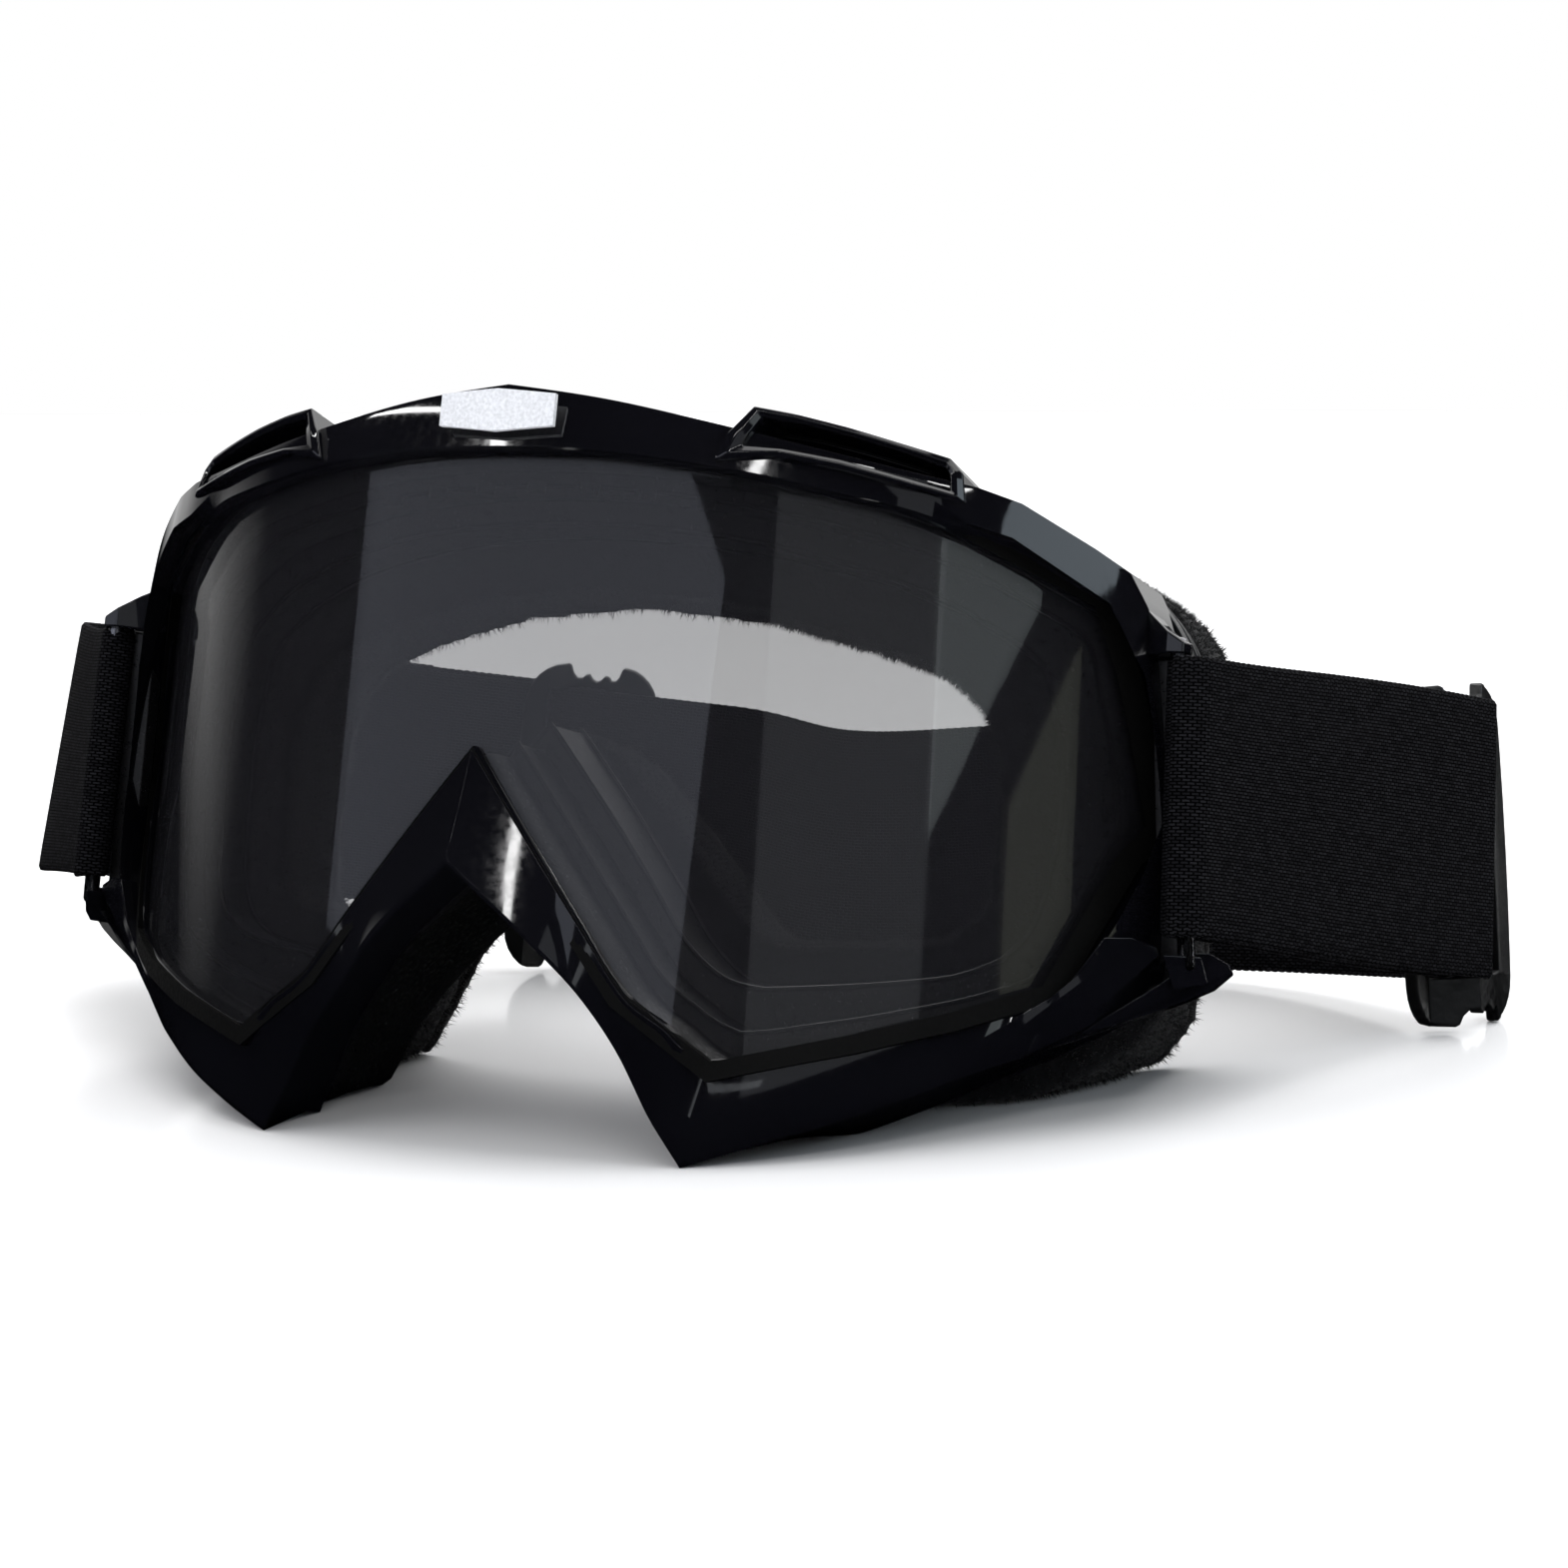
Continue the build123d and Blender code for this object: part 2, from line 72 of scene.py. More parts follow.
def lens_y(x, out):
    """y on the cylinder that lies out beyond the lens's outer face."""
    return AXIS_Y - math.sqrt((LENS_R + out) ** 2 - x * x)


def curve_y(x, front, radius):
    """y on a cylinder of this radius whose front is at y = front in the middle."""
    return front + radius - math.sqrt(radius * radius - x * x)


# ------------------------------------------------------------------ meshes
def make(name, points, faces, smooth=True):
    """A mesh object in the scene, from points in metres."""
    mesh = bpy.data.meshes.new(name)
    mesh.from_pydata([tuple(p) for p in points], [], faces)
    mesh.validate()
    mesh.polygons.foreach_set("use_smooth", [smooth] * len(mesh.polygons))
    piece = bpy.data.objects.new(name, mesh)
    bpy.context.scene.collection.objects.link(piece)
    return piece


def outward(piece):
    """Turns every face outwards."""
    bm = bmesh.new()
    bm.from_mesh(piece.data)
    bmesh.ops.recalc_face_normals(bm, faces=bm.faces)
    bm.to_mesh(piece.data)
    bm.free()


def swept(name, rows, closed):
    """Closed sections joined one to the next; a run that isn't closed gets end caps."""
    width = len(rows[0])
    points = [p for row in rows for p in row]
    faces = []
    last = len(rows) if closed else len(rows) - 1
    for i in range(last):
        a, b = i * width, ((i + 1) % len(rows)) * width
        for j in range(width):
            k = (j + 1) % width
            faces.append((a + j, a + k, b + k, b + j))
    if not closed:
        faces.append(tuple(range(width)))
        faces.append(tuple(reversed(range(len(points) - width, len(points)))))
    piece = make(name, points, faces)
    outward(piece)
    return piece


def hard(piece, width=0.35, angle=22):
    """Small rounded edges with clean shading."""
    bevel = piece.modifiers.new("edges", "BEVEL")
    bevel.width = width * MM
    bevel.segments = 3
    bevel.limit_method = "ANGLE"
    bevel.angle_limit = math.radians(angle)
    bevel.harden_normals = True
    return piece


def applied(piece):
    """The piece with its modifiers made part of its mesh."""
    done = bpy.data.meshes.new_from_object(piece.evaluated_get(bpy.context.evaluated_depsgraph_get()))
    piece.modifiers.clear()
    piece.data = done
    return piece


def refined(rows, corners, step=1.6):
    """Rows of numbers round a loop, with smooth rows between them except at the corners."""
    rows = [np.array(r, dtype=float) for r in rows]
    count = len(rows)
    out = []
    for i in range(count - 1):
        a, b = rows[i], rows[i + 1]
        before = a if (i in corners or i == 0) else rows[i - 1]
        after = b if (i + 1 in corners or i + 2 == count) else rows[i + 2]
        ma = (b - before) / (2 if before is not a else 1)
        mb = (after - a) / (2 if after is not b else 1)
        length = max(np.linalg.norm((b - a)[:, :2], axis=1))
        steps = max(1, int(round(length / step)))
        for k in range(steps):
            t = k / steps
            out.append((2 * t**3 - 3 * t**2 + 1) * a + (t**3 - 2 * t**2 + t) * ma
                       + (3 * t**2 - 2 * t**3) * b + (t**3 - t**2) * mb)
    out.append(rows[-1])
    return out


def both_sides(rows):
    """Sections of the x >= 0 half, from top centre to bottom centre, closed by their mirror image."""
    flip = [[Vector((-p.x, p.y, p.z)) for p in row] for row in rows[-2:0:-1]]
    return rows + flip


# ------------------------------------------------------------------ gloss front frame
# round the x >= 0 half from the apex: lens edge (x, h), outer edge (x, h), how far the outer edge stands out,
# zone, and for the sides the outer ridge (x, h, out)
ROUND = [
    ((0, 92.7), (0, 102.2), 1.6, "brow", None),
    ((13.5, 92.5), (14.2, 100.4), 1.6, "brow", None),
    ((26.8, 91.5), (28.0, 98.0), 1.7, "brow", None),
    ((35.6, 90.5), (37.0, 96.4), 2.0, "brow", None),
    ((44.1, 89.3), (45.5, 95.0), 2.2, "brow", None),
    ((52.2, 88.2), (53.5, 93.8), 2.6, "brow", None),
    ((60.2, 85.5), (60.5, 92.9), 3.6, "facet", (60.2, 88.1, 4.4)),
    ((64.0, 83.9), (65.6, 91.6), 4.0, "facet", (65.3, 86.9, 5.0)),
    ((69.8, 81.1), (73.6, 87.3), 4.2, "facet", (75.9, 80.2, 5.0)),
    ((72.8, 79.7), (77.3, 84.9), 4.3, "facet", (77.2, 77.4, 5.2)),
    ((74.1, 78.0), (79.6, 79.6), 4.0, "facet", (78.9, 73.4, 5.3)),
    ((75.5, 71.2), (81.2, 73.6), 3.8, "side", (80.1, 71.0, 5.3)),
    ((77.2, 63.2), (83.2, 64.5), 3.8, "side", (81.3, 63.8, 5.3)),
    ((78.4, 57.5), (84.2, 57.5), 3.8, "side", (82.1, 57.6, 5.3)),
    ((79.3, 51.7), (84.6, 51.8), 3.8, "side", (82.7, 51.8, 5.3)),
    ((78.2, 49.5), (84.2, 47.5), 3.8, "side", (82.0, 48.1, 5.3)),
    ((77.0, 47.3), (83.6, 43.0), 3.8, "side", (81.2, 44.4, 5.2)),
    ((75.5, 42.8), (82.8, 36.0), 3.6, "side", (80.0, 40.6, 5.0)),
    ((73.9, 38.0), (81.4, 29.6), 3.0, "side", (78.6, 36.6, 4.7)),
    ((72.3, 33.2), (76.0, 24.2), 1.2, "side", (75.8, 31.0, 3.8)),
    ((70.6, 28.3), (68.6, 18.8), -1.2, "seam", (72.2, 26.6, 2.4)),
    ((66.0, 25.7), (62.0, 15.0), -1.6, "low", None),
    ((61.0, 23.3), (57.0, 11.9), -1.6, "low", None),
    ((50.5, 19.1), (49.0, 7.6), -1.6, "low", None),
    ((42.5, 16.4), (41.5, 4.3), -1.6, "low", None),
    ((38.1, 15.0), (36.4, 2.1), -1.8, "low", None),
    ((34.8, 14.4), (31.3, 0.0), -2.2, "low", None),
    ((31.8, 16.2), (29.2, 3.2), -1.6, "nose", None),
    ((29.3, 18.4), (27.0, 6.6), -1.2, "nose", None),
    ((24.0, 22.0), (22.6, 14.5), -0.5, "nose", None),
    ((18.0, 29.8), (17.2, 21.4), 0.4, "nose", None),
    ((12.0, 37.6), (11.7, 27.0), 2.9, "nose", None),
    ((6.0, 45.4), (6.0, 31.8), 4.2, "nose", None),
    ((0, 53.2), (0, 36.7), 5.5, "nose", None),
]
CORNERS = {0, 6, 7, 8, 9, 14, 20, 26, 33}
# how far the raised lip beside the lens stands out, and how full and how crested the face outside it is
ARRIS = {"brow": 2.8, "facet": 1.6, "side": 1.0, "seam": 0.7, "low": 0.5, "nose": 1.7}
SWELL = {"brow": 0.05, "low": 0.9, "nose": 0.2}
CREST = {"brow": 0.25, "low": 0.75, "nose": 0.5}


def section(index):
    """One station's (x, h, out) lines: lens edge, lip, groove, face, edge, rear rim and inner wall."""
    lens, edge, out, zone, ridge = ROUND[index]
    lens, edge = np.array(lens, dtype=float), np.array(edge, dtype=float)
    away = (edge - lens) / np.linalg.norm(edge - lens)
    tall = ARRIS[zone]

    def at(base, along, rise):
        return (*(base + away * along), rise)

    lines = [at(lens, 0, 0.02), at(lens, 0.06, tall * 0.75), at(lens, 0.26, tall), at(lens, 0.5, tall - 0.3)]
    if ridge is None:
        middle = (lens + away * 1.3 + edge) / 2
        lines += [at(lens, 0.75, tall + 0.05), (*middle, (tall + out) / 2 + SWELL[zone]),
                  at(edge, -0.8, out + CREST[zone])]
    else:
        ridge = np.array(ridge)
        toward = ridge[:2] - lens
        toward /= np.linalg.norm(toward)
        lines += [(*(ridge[:2] - toward * 0.9), tall + 0.1), (*(ridge[:2] - toward * 0.3), ridge[2] - 0.15)]
        if zone == "facet":
            lines.append(at(edge, -0.5, out + 0.1))
        else:
            lines.append((*(ridge[:2] + (edge - ridge[:2]) * 0.15), ridge[2] - 0.1))
    lines.append(at(edge, 0, out))
    rear = 0.0 if zone == "nose" else 1.0
    lines += [(*edge, rear), at(edge, -2.0, rear), at(edge, -2.2, out - 2.4), at(lens, 2.9, 0.1)]
    return lines


def rear_y(x, h, rear, front_out):
    """Rear rim of the wall: the shell's curved rear, or 10 to 13 mm behind the nose cut-out's edge."""
    full = curve_y(x, SHELL_REAR, SHELL_R)
    near = lens_y(x, front_out) + 10.0 + max(0.0, (20.0 - h) * 0.15)
    return rear * full + (1 - rear) * min(near, full)


front_rows = []
for row in refined([section(i) for i in range(len(ROUND))], CORNERS):
    edge_out = row[7][2]
    placed = [own(x, lens_y(x, out), h) for x, h, out in row[:8]]
    placed += [own(x, rear_y(x, h, rear, edge_out), h) for x, h, rear in row[8:10]]
    placed += [own(x, lens_y(x, out), h) for x, h, out in row[10:]]
    front_rows.append(placed)
front = swept("front_frame_gloss", both_sides(front_rows), closed=True)
hard(front, 0.2, 18)


def hood(flip):
    """A brow air scoop: a raised rim round a dark slot, with walls that run back into the brow."""
    rim = [(29.6, 92.6), (31.0, 96.4), (33.6, 100.5), (39.2, 99.9), (45.2, 98.9), (51.0, 97.7), (57.0, 96.5),
           (58.7, 94.6), (59.6, 90.4), (53.0, 91.6), (45.0, 93.0), (36.6, 93.9)]
    hole = [(33.0, 94.9), (33.6, 96.6), (34.7, 99.1), (39.5, 98.7), (45.2, 97.7), (51.0, 96.5), (56.4, 95.2),
            (57.2, 94.2), (57.8, 91.8), (53.0, 92.7), (45.0, 94.2), (38.0, 94.9)]
    rise = [3.4, 3.2, 2.2, 2.3, 2.4, 2.5, 2.6, 3.2, 4.2, 4.0, 3.7, 3.5]

    def dense(points):
        ring = [(*p, r) for p, r in zip(points, rise)]
        out = []
        for i, a in enumerate(ring):
            b = ring[(i + 1) % len(ring)]
            out += [tuple(a[k] + (b[k] - a[k]) * t / 4 for k in range(3)) for t in range(4)]
        return out

    outer, inner = dense(rim), dense(hole)
    mid = [tuple(a[k] + (b[k] - a[k]) * 0.5 for k in range(3)) for a, b in zip(outer, inner)]
    side = -1 if flip else 1
    layers = [
        [own(side * x, lens_y(x, r) + 13, h - 1.4) for x, h, r in outer],
        [own(side * x, lens_y(x, r), h) for x, h, r in outer],
        [own(side * x, lens_y(x, r + 0.25), h) for x, h, r in mid],
        [own(side * x, lens_y(x, r - 0.2), h) for x, h, r in inner],
        [own(side * x, lens_y(x, r) + 8.5, h - 0.6) for x, h, r in inner],
    ]
    width = len(outer)
    points = [p for layer in layers for p in layer]
    faces = []
    for i in range(len(layers) - 1):
        for j in range(width):
            k = (j + 1) % width
            faces.append((i * width + j, i * width + k, (i + 1) * width + k, (i + 1) * width + j))
    faces.append(tuple(range(width)))
    faces.append(tuple(reversed(range(len(points) - width, len(points)))))
    piece = make("brow_scoop_right" if flip else "brow_scoop_left", points, faces)
    outward(piece)
    return hard(piece, 0.22, 25)


scoops = [hood(False), hood(True)]


def plates(name, outlines):
    """Closed faceted blocks, each from a front outline of (x, h, out) corners and how far back it goes."""
    points, faces = [], []
    for side, corners, depth in outlines:
        first, count = len(points), len(corners)
        points += [own(side * x, lens_y(x, out), h) for x, h, out in corners]
        points += [own(side * x * 0.99, lens_y(x, out) + depth, h) for x, h, out in corners]
        faces.append(tuple(range(first, first + count)))
        faces.append(tuple(reversed(range(first + count, first + 2 * count))))
        faces += [(first + i, first + (i + 1) % count, first + count + (i + 1) % count, first + count + i)
                  for i in range(count)]
    piece = make(name, points, faces)
    outward(piece)
    return hard(piece, 0.25, 24)


def fin(flip):
    """The swept tail that carries the strap pin's lower end: an upper facet, a hollow and a lower lobe."""
    side = -1 if flip else 1
    facet = [(77.5, 35.6, 4.4), (80.6, 36.0, 5.7), (83.6, 35.0, 7.2), (83.9, 34.0, 7.3), (79.0, 28.4, 4.0),
             (73.9, 22.9, 0.6), (68.6, 18.7, -0.9), (70.9, 23.4, 1.0), (73.6, 28.3, 2.9)]
    lobe = [(87.6, 34.8, 9.0), (89.4, 35.1, 9.5), (91.2, 34.0, 9.7), (91.5, 32.9, 9.6), (89.6, 30.4, 8.8),
            (86.6, 28.5, 7.0), (82.6, 26.4, 4.6), (78.0, 24.2, 2.0), (73.6, 22.0, -0.2), (77.6, 25.3, 2.5),
            (82.2, 28.9, 5.4), (85.4, 31.6, 7.6)]
    hollow = [(83.6, 34.2, 4.6), (87.4, 34.4, 6.4), (85.8, 31.0, 5.4), (80.0, 27.0, 1.4), (73.8, 22.4, -1.6),
              (78.6, 28.6, 1.8)]
    boss = [(85.0, 33.9, 9.4), (88.9, 34.3, 10.2), (89.6, 31.0, 10.0), (86.0, 29.4, 8.6)]
    root = [(68.4, 18.9, -1.9), (75.0, 30.0, 1.6), (81.0, 34.6, 3.4), (85.0, 30.0, 4.6), (80.0, 25.4, 1.6)]
    return plates("strap_tail_right" if flip else "strap_tail_left",
                  [(side, facet, 3.4), (side, lobe, 4.2), (side, hollow, 3.0), (side, root, 3.0),
                   (side, boss, 4.0)])


def refined_line(points, steps):
    """A smooth line through points, with this many steps between each two."""
    out = []
    for i in range(len(points) - 1):
        a, b = np.array(points[i]), np.array(points[i + 1])
        before = np.array(points[i - 1]) if i else 2 * a - b
        after = np.array(points[i + 2]) if i + 2 < len(points) else 2 * b - a
        for k in range(steps):
            t = k / steps
            out.append(0.5 * (2 * a + (b - before) * t + (2 * before - 5 * a + 4 * b - after) * t * t
                              + (3 * a - before - 3 * b + after) * t**3))
    out.append(np.array(points[-1]))
    return out


tails = [fin(False), fin(True)]


# ------------------------------------------------------------------ sides, arms and pins
PIN_LOW, PIN_HIGH = (87.2, 35.2, 31.6), (84.2, 29.3, 79.0)


def pin_at(h):
    """(x, y) of the strap pin's axis at height h."""
    t = (h - PIN_LOW[2]) / (PIN_HIGH[2] - PIN_LOW[2])
    return (PIN_LOW[0] + (PIN_HIGH[0] - PIN_LOW[0]) * t, PIN_LOW[1] + (PIN_HIGH[1] - PIN_LOW[1]) * t)


def side_wall(flip):
    """The ribbed wall behind the rim."""
    side = -1 if flip else 1
    path = refined_line([(62.0, 91.2), (66.5, 90.0), (71.4, 88.2), (76.2, 85.4), (79.6, 81.4), (81.8, 76.4),
                         (82.6, 70.0), (83.1, 62.0), (83.4, 54.0), (82.9, 46.0), (81.6, 39.0), (79.6, 33.0)], 3)
    # (how far back, how far out) of the wall's three ribs
    ribs = [(-1.5, -0.4), (1.2, -0.3), (1.6, -1.3), (2.8, -1.3), (3.2, -0.4), (4.6, -0.5), (5.0, -1.6),
            (6.2, -1.6), (6.6, -0.7), (8.0, -0.8), (8.4, -1.8), (8.4, -3.6), (-1.5, -3.6)]
    rows = []
    for i, (x, h) in enumerate(path):
        ahead = path[min(i + 1, len(path) - 1)] - path[max(i - 1, 0)]
        ahead /= np.linalg.norm(ahead)
        rear = curve_y(x, SHELL_REAR, SHELL_R)
        rows.append([own(side * (x - ahead[1] * out), rear + back, h + ahead[0] * out) for back, out in ribs])
    piece = swept("side_wall_right" if flip else "side_wall_left", rows, closed=False)
    return hard(piece, 0.2, 30)


def side_web(flip):
    """The web that closes the space between the wall and the strap's loop."""
    side = -1 if flip else 1
    plan = [(-4.9, 3.4), (-2.6, 2.5), (-1.3, 2.45), (-0.85, 3.1), (-1.6, 4.4), (-3.2, 6.1), (-4.9, 6.1)]
    rows = []
    for h in range(30, 75, 4):
        x, y = pin_at(h)
        rows.append([own(side * (x + a), y + b, h) for a, b in plan])
    piece = swept("side_web_right" if flip else "side_web_left", rows, closed=False)
    return hard(piece, 0.2, 30)


def arm(flip):
    """The arm over the strap that holds the pin's upper end; its top slopes up to the rim."""
    side = -1 if flip else 1
    plan = [(77.5, 33.0), (80.5, 29.6), (83.2, 27.6), (85.4, 27.8), (86.3, 29.4), (85.6, 31.3), (82.0, 35.0),
            (78.5, 40.0)]
    underside, top_low, slope, slope_from = 74.2, 75.9, 0.85, 84.8
    rows = [[own(side * x, y, underside) for x, y in plan],
            [own(side * x, y, top_low + max(0.0, slope_from - x) * slope - 0.1) for x, y in plan]]
    piece = swept("strap_arm_right" if flip else "strap_arm_left", rows, closed=False)
    return hard(piece, 0.3, 25)


def pin_wire(flip):
    """A steel wire pin with rounded ends."""
    side = -1 if flip else 1
    rows = []
    heights_and_radii = [(32.2, 0.5), (32.4, 0.95), (32.9, 1.2), (55.0, 1.25), (75.8, 1.2), (76.4, 1.0), (76.6, 0.5)]
    for h, r in heights_and_radii:
        x, y = pin_at(h)
        rows.append([own(side * (x + r * math.cos(t)), y + r * math.sin(t), h)
                     for t in (math.radians(22.5 * k) for k in range(16))])
    return swept("pin_wire_right" if flip else "pin_wire_left", rows, closed=False)


walls = [build(flip) for build in (side_wall, side_web) for flip in (False, True)]
arms = [arm(False), arm(True)]
wires = [pin_wire(False), pin_wire(True)]

# ------------------------------------------------------------------ matte inner frame
# its rear edge round the eye opening, one (x, h) for each station of ROUND
REAR_EDGE = [(0, 87.6), (13, 87.1), (25, 86.1), (33, 84.8), (41, 83.2), (47, 81.4), (53, 79.2), (57, 77),
             (60.4, 75), (62.6, 73), (63.6, 71), (64.6, 66.5), (65.6, 62), (66, 57), (66, 51),
             (65.9, 48.5), (65.7, 46), (65.4, 43), (65, 40), (63.6, 36), (61, 32.3), (57.6, 30.2),
             (54, 28.9), (46, 27.4), (39.4, 26.5), (36, 26.1), (33, 25.8), (29.6, 26.1), (26.4, 27.4),
             (22, 31.5), (16.8, 39), (11, 46.8), (5.4, 53.6), (0, 60)]


def inner_section(index):
    """One station's (x, h, share of the way back) lines, stepping in from the lens to the rear edge."""
    lens, edge, rear = (np.array(p, dtype=float) for p in (*ROUND[index][:2], REAR_EDGE[index]))
    away = (edge - lens) / np.linalg.norm(edge - lens)
    start = lens + away * 0.9
    steps = [(0.0, 0.0), (0.10, 0.10), (0.12, 0.30), (0.40, 0.34), (0.44, 0.62), (0.93, 0.66), (0.96, 0.95),
             (1.0, 1.0)]
    lines = [(*(start + (rear - start) * a), b) for a, b in steps]
    outer = edge - away * 2.4
    lines += [(*(rear + (outer - rear) * 0.02), 1.05), (*outer, 1.05), (*outer, 0.35)]
    return lines


inner_rows = []
for row in refined([inner_section(i) for i in range(len(ROUND))], CORNERS, 2.2):
    placed = []
    for x, h, back in row:
        near, far = lens_y(x, -1.7), curve_y(x, INNER_REAR - 1.2, BACK_R)
        placed.append(own(x, near + (far - near) * back, max(h, 2.6)))
    inner_rows.append(placed)
inner_loop = both_sides(inner_rows)
inner = swept("inner_frame_matte", inner_loop, closed=True)
hard(inner, 0.3, 24)


def bead(name, column, radius):
    """A fine rounded moulding that runs all the way round one step of the inner frame."""
    rows = []
    for i, row in enumerate(inner_loop):
        ahead = (inner_loop[(i + 1) % len(inner_loop)][column] - inner_loop[i - 1][column]).normalized()
        over = ahead.cross(own(0, 1, 0) - own(0, 0, 0)).normalized()
        back = ahead.cross(over)
        rows.append([row[column] + (over * math.cos(t) + back * math.sin(t)) * radius * MM
                     for t in (math.radians(45 * k) for k in range(8))])
    return swept(name, rows, closed=True)


beads = [bead("inner_bead_front", 3, 0.35), bead("inner_bead_middle", 5, 0.4), bead("inner_bead_rear", 7, 0.45)]


# ------------------------------------------------------------------ soft pieces
def soften(node, name, voxel, rounds, rough):
    """A CAD soft solid remeshed, its corners rounded, with a slightly uneven surface."""
    piece = bpy.data.objects.new(name, frame["nodes"][node].data.copy())
    bpy.context.scene.collection.objects.link(piece)
    piece.data.transform(frame["nodes"][node].matrix_world)
    remesh = piece.modifiers.new("remesh", "REMESH")
    remesh.mode = "VOXEL"
    remesh.voxel_size = voxel * MM
    smooth = piece.modifiers.new("round", "SMOOTH")
    smooth.iterations = rounds
    smooth.factor = 0.5
    applied(piece)
    mesh = piece.data
    spots = [v.co.copy() for v in mesh.vertices]
    ways = [v.normal.copy() for v in mesh.vertices]
    for i, (spot, way) in enumerate(zip(spots, ways)):
        n = noise.noise(spot * 260) * 0.6 + noise.noise(spot * 900) * 0.4
        spot += way * n * rough * MM
        spots[i] = (spot.x, spot.y, max(spot.z, 0.0001))
    mesh.vertices.foreach_set("co", [c for spot in spots for c in spot])
    mesh.update()
    mesh.polygons.foreach_set("use_smooth", [True] * len(mesh.polygons))
    return piece


# the (x, h) line above the eye opening where the soft pieces are lifted most
LIFT_LINE = [(0, 84), (13, 83.5), (25, 82.5), (33, 81.2), (41, 79.6), (47, 78), (53, 76.2), (57, 74.3), (62, 71)]
UPRIGHT = (own(0, 0, 10) - own(0, 0, 0)) / 10


def lifted(piece, rise=1.8, reach=5.0):
    """The soft piece pressed up along LIFT_LINE, fading away above and below it and towards the sides."""
    mesh = piece.data
    for v in mesh.vertices:
        back = v.co / MM
        h = back.z * math.cos(LEAN) + back.y * math.sin(LEAN)
        edge = np.interp(abs(back.x), [e[0] for e in LIFT_LINE], [e[1] for e in LIFT_LINE])
        share = math.exp(-((h - edge) / reach) ** 2) * min(1.0, max(0.0, (66 - abs(back.x)) / 12))
        v.co += UPRIGHT * rise * share
    mesh.update()
    return piece


foam = lifted(soften("face_foam", "face_foam_flocked", 1.3, 5, 0.35))
lining = lifted(soften("foam_lining", "foam_lining_fleece", 0.9, 2, 0.2))
filters = [soften(node, node + "_cells", 1.2, 1, 0.3)
           for node in ("vent_filter_top", "vent_filter_cheek_left", "vent_filter_cheek_right")]


AHEAD = (own(0, 1, 0) - own(0, 0, 0)).normalized()
FIBRE_R, ROOT_DEPTH = 0.07 * MM, 0.0001


def fibres(base, name, count, length, seed):
    """Short flock fibres on a soft piece's sides, each a thin three-sided spike; none on its front and rear."""
    pick = random.Random(seed)
    faces = [f for f in base.data.polygons if abs(f.normal.dot(AHEAD)) < 0.8]
    points, tris = [], []
    for _ in range(count):
        face = faces[pick.randrange(len(faces))]
        corners = [base.data.vertices[i].co for i in face.vertices]
        weights = [pick.random() for _ in corners]
        total = sum(weights)
        root = sum((c * w for c, w in zip(corners, weights)), Vector()) / total
        lean = Vector((pick.uniform(-1, 1), pick.uniform(-1, 1), pick.uniform(-1, 1))) * 0.75
        tip = root + (face.normal + lean).normalized() * length * MM * pick.uniform(0.5, 1.15)
        if tip.z < 0.0001:
            continue
        side = face.normal.orthogonal().normalized() * FIBRE_R
        other = face.normal.cross(side)
        first = len(points)
        foot = root - face.normal * ROOT_DEPTH
        points += [foot + side, foot - side * 0.5 + other, foot - side * 0.5 - other, tip]
        tris += [(first, first + 1, first + 3), (first + 1, first + 2, first + 3), (first + 2, first, first + 3),
                 (first, first + 2, first + 1)]
    return make(name, points, tris)


foam_nap = fibres(foam, "face_foam_nap", count=100000, length=1.2, seed=11)
lining_nap = fibres(lining, "foam_lining_nap", count=26000, length=1.4, seed=12)

# ------------------------------------------------------------------ strap
# webbing thickness and width, pin radius, and how far out each layer lies from the innermost one
WEB, STRAP_W, PIN_R = 1.3, 40.0, 1.25
LOOP_N = 2 * (WEB / 2 + 0.1 + PIN_R)
RETURN_N = LOOP_N + WEB + 0.3
FIXED_N = RETURN_N + WEB + 0.3
BAR_N = 3.75


def flat(x, y, h):
    """A point of the goggles' own frame, standing, in millimetres."""
    return Vector((x, y * math.cos(LEAN) + h * math.sin(LEAN), h * math.cos(LEAN) - y * math.sin(LEAN)))


PIN_TOP, PIN_FOOT = flat(*PIN_HIGH), flat(*PIN_LOW)
ADJUSTER_L, ADJUSTER_R = Vector((109.5, 116.0, 28.3)), Vector((-36, 110.5, 27.6))
BEND_R = Vector((-104, 87.5, 36.8))
BACK_RUN = [Vector(p) for p in ((88, 134, 23.4), (62, 138.5, 21.4), (30, 131.5, 20.8), (-2, 121.5, 21.6))]


def crossing(along, up):
    """The unit part of up that is square to along."""
    return (up - along * up.dot(along)).normalized()


def mirrored(v):
    return Vector((-v.x, v.y, v.z))


pin_mid = (PIN_TOP + PIN_FOOT) / 2
left_dir = (ADJUSTER_L - pin_mid).normalized()
left_up = crossing(left_dir, PIN_TOP - PIN_FOOT)
left_out = left_dir.cross(left_up)
left_foot = pin_mid - left_out * LOOP_N / 2
left_run = (ADJUSTER_L - left_foot).dot(left_dir)
left_at = left_foot + left_dir * left_run
right_dir = (ADJUSTER_R - BEND_R).normalized()
right_up = crossing(right_dir, Vector((0, 0, 1)))
right_out = right_up.cross(right_dir)
pin_up = mirrored(left_up)
pin_dir = crossing(pin_up, Vector((0.62, -0.78, 0)))
pin_out = pin_dir.cross(pin_up)
right_foot = mirrored(pin_mid) - pin_out * LOOP_N / 2


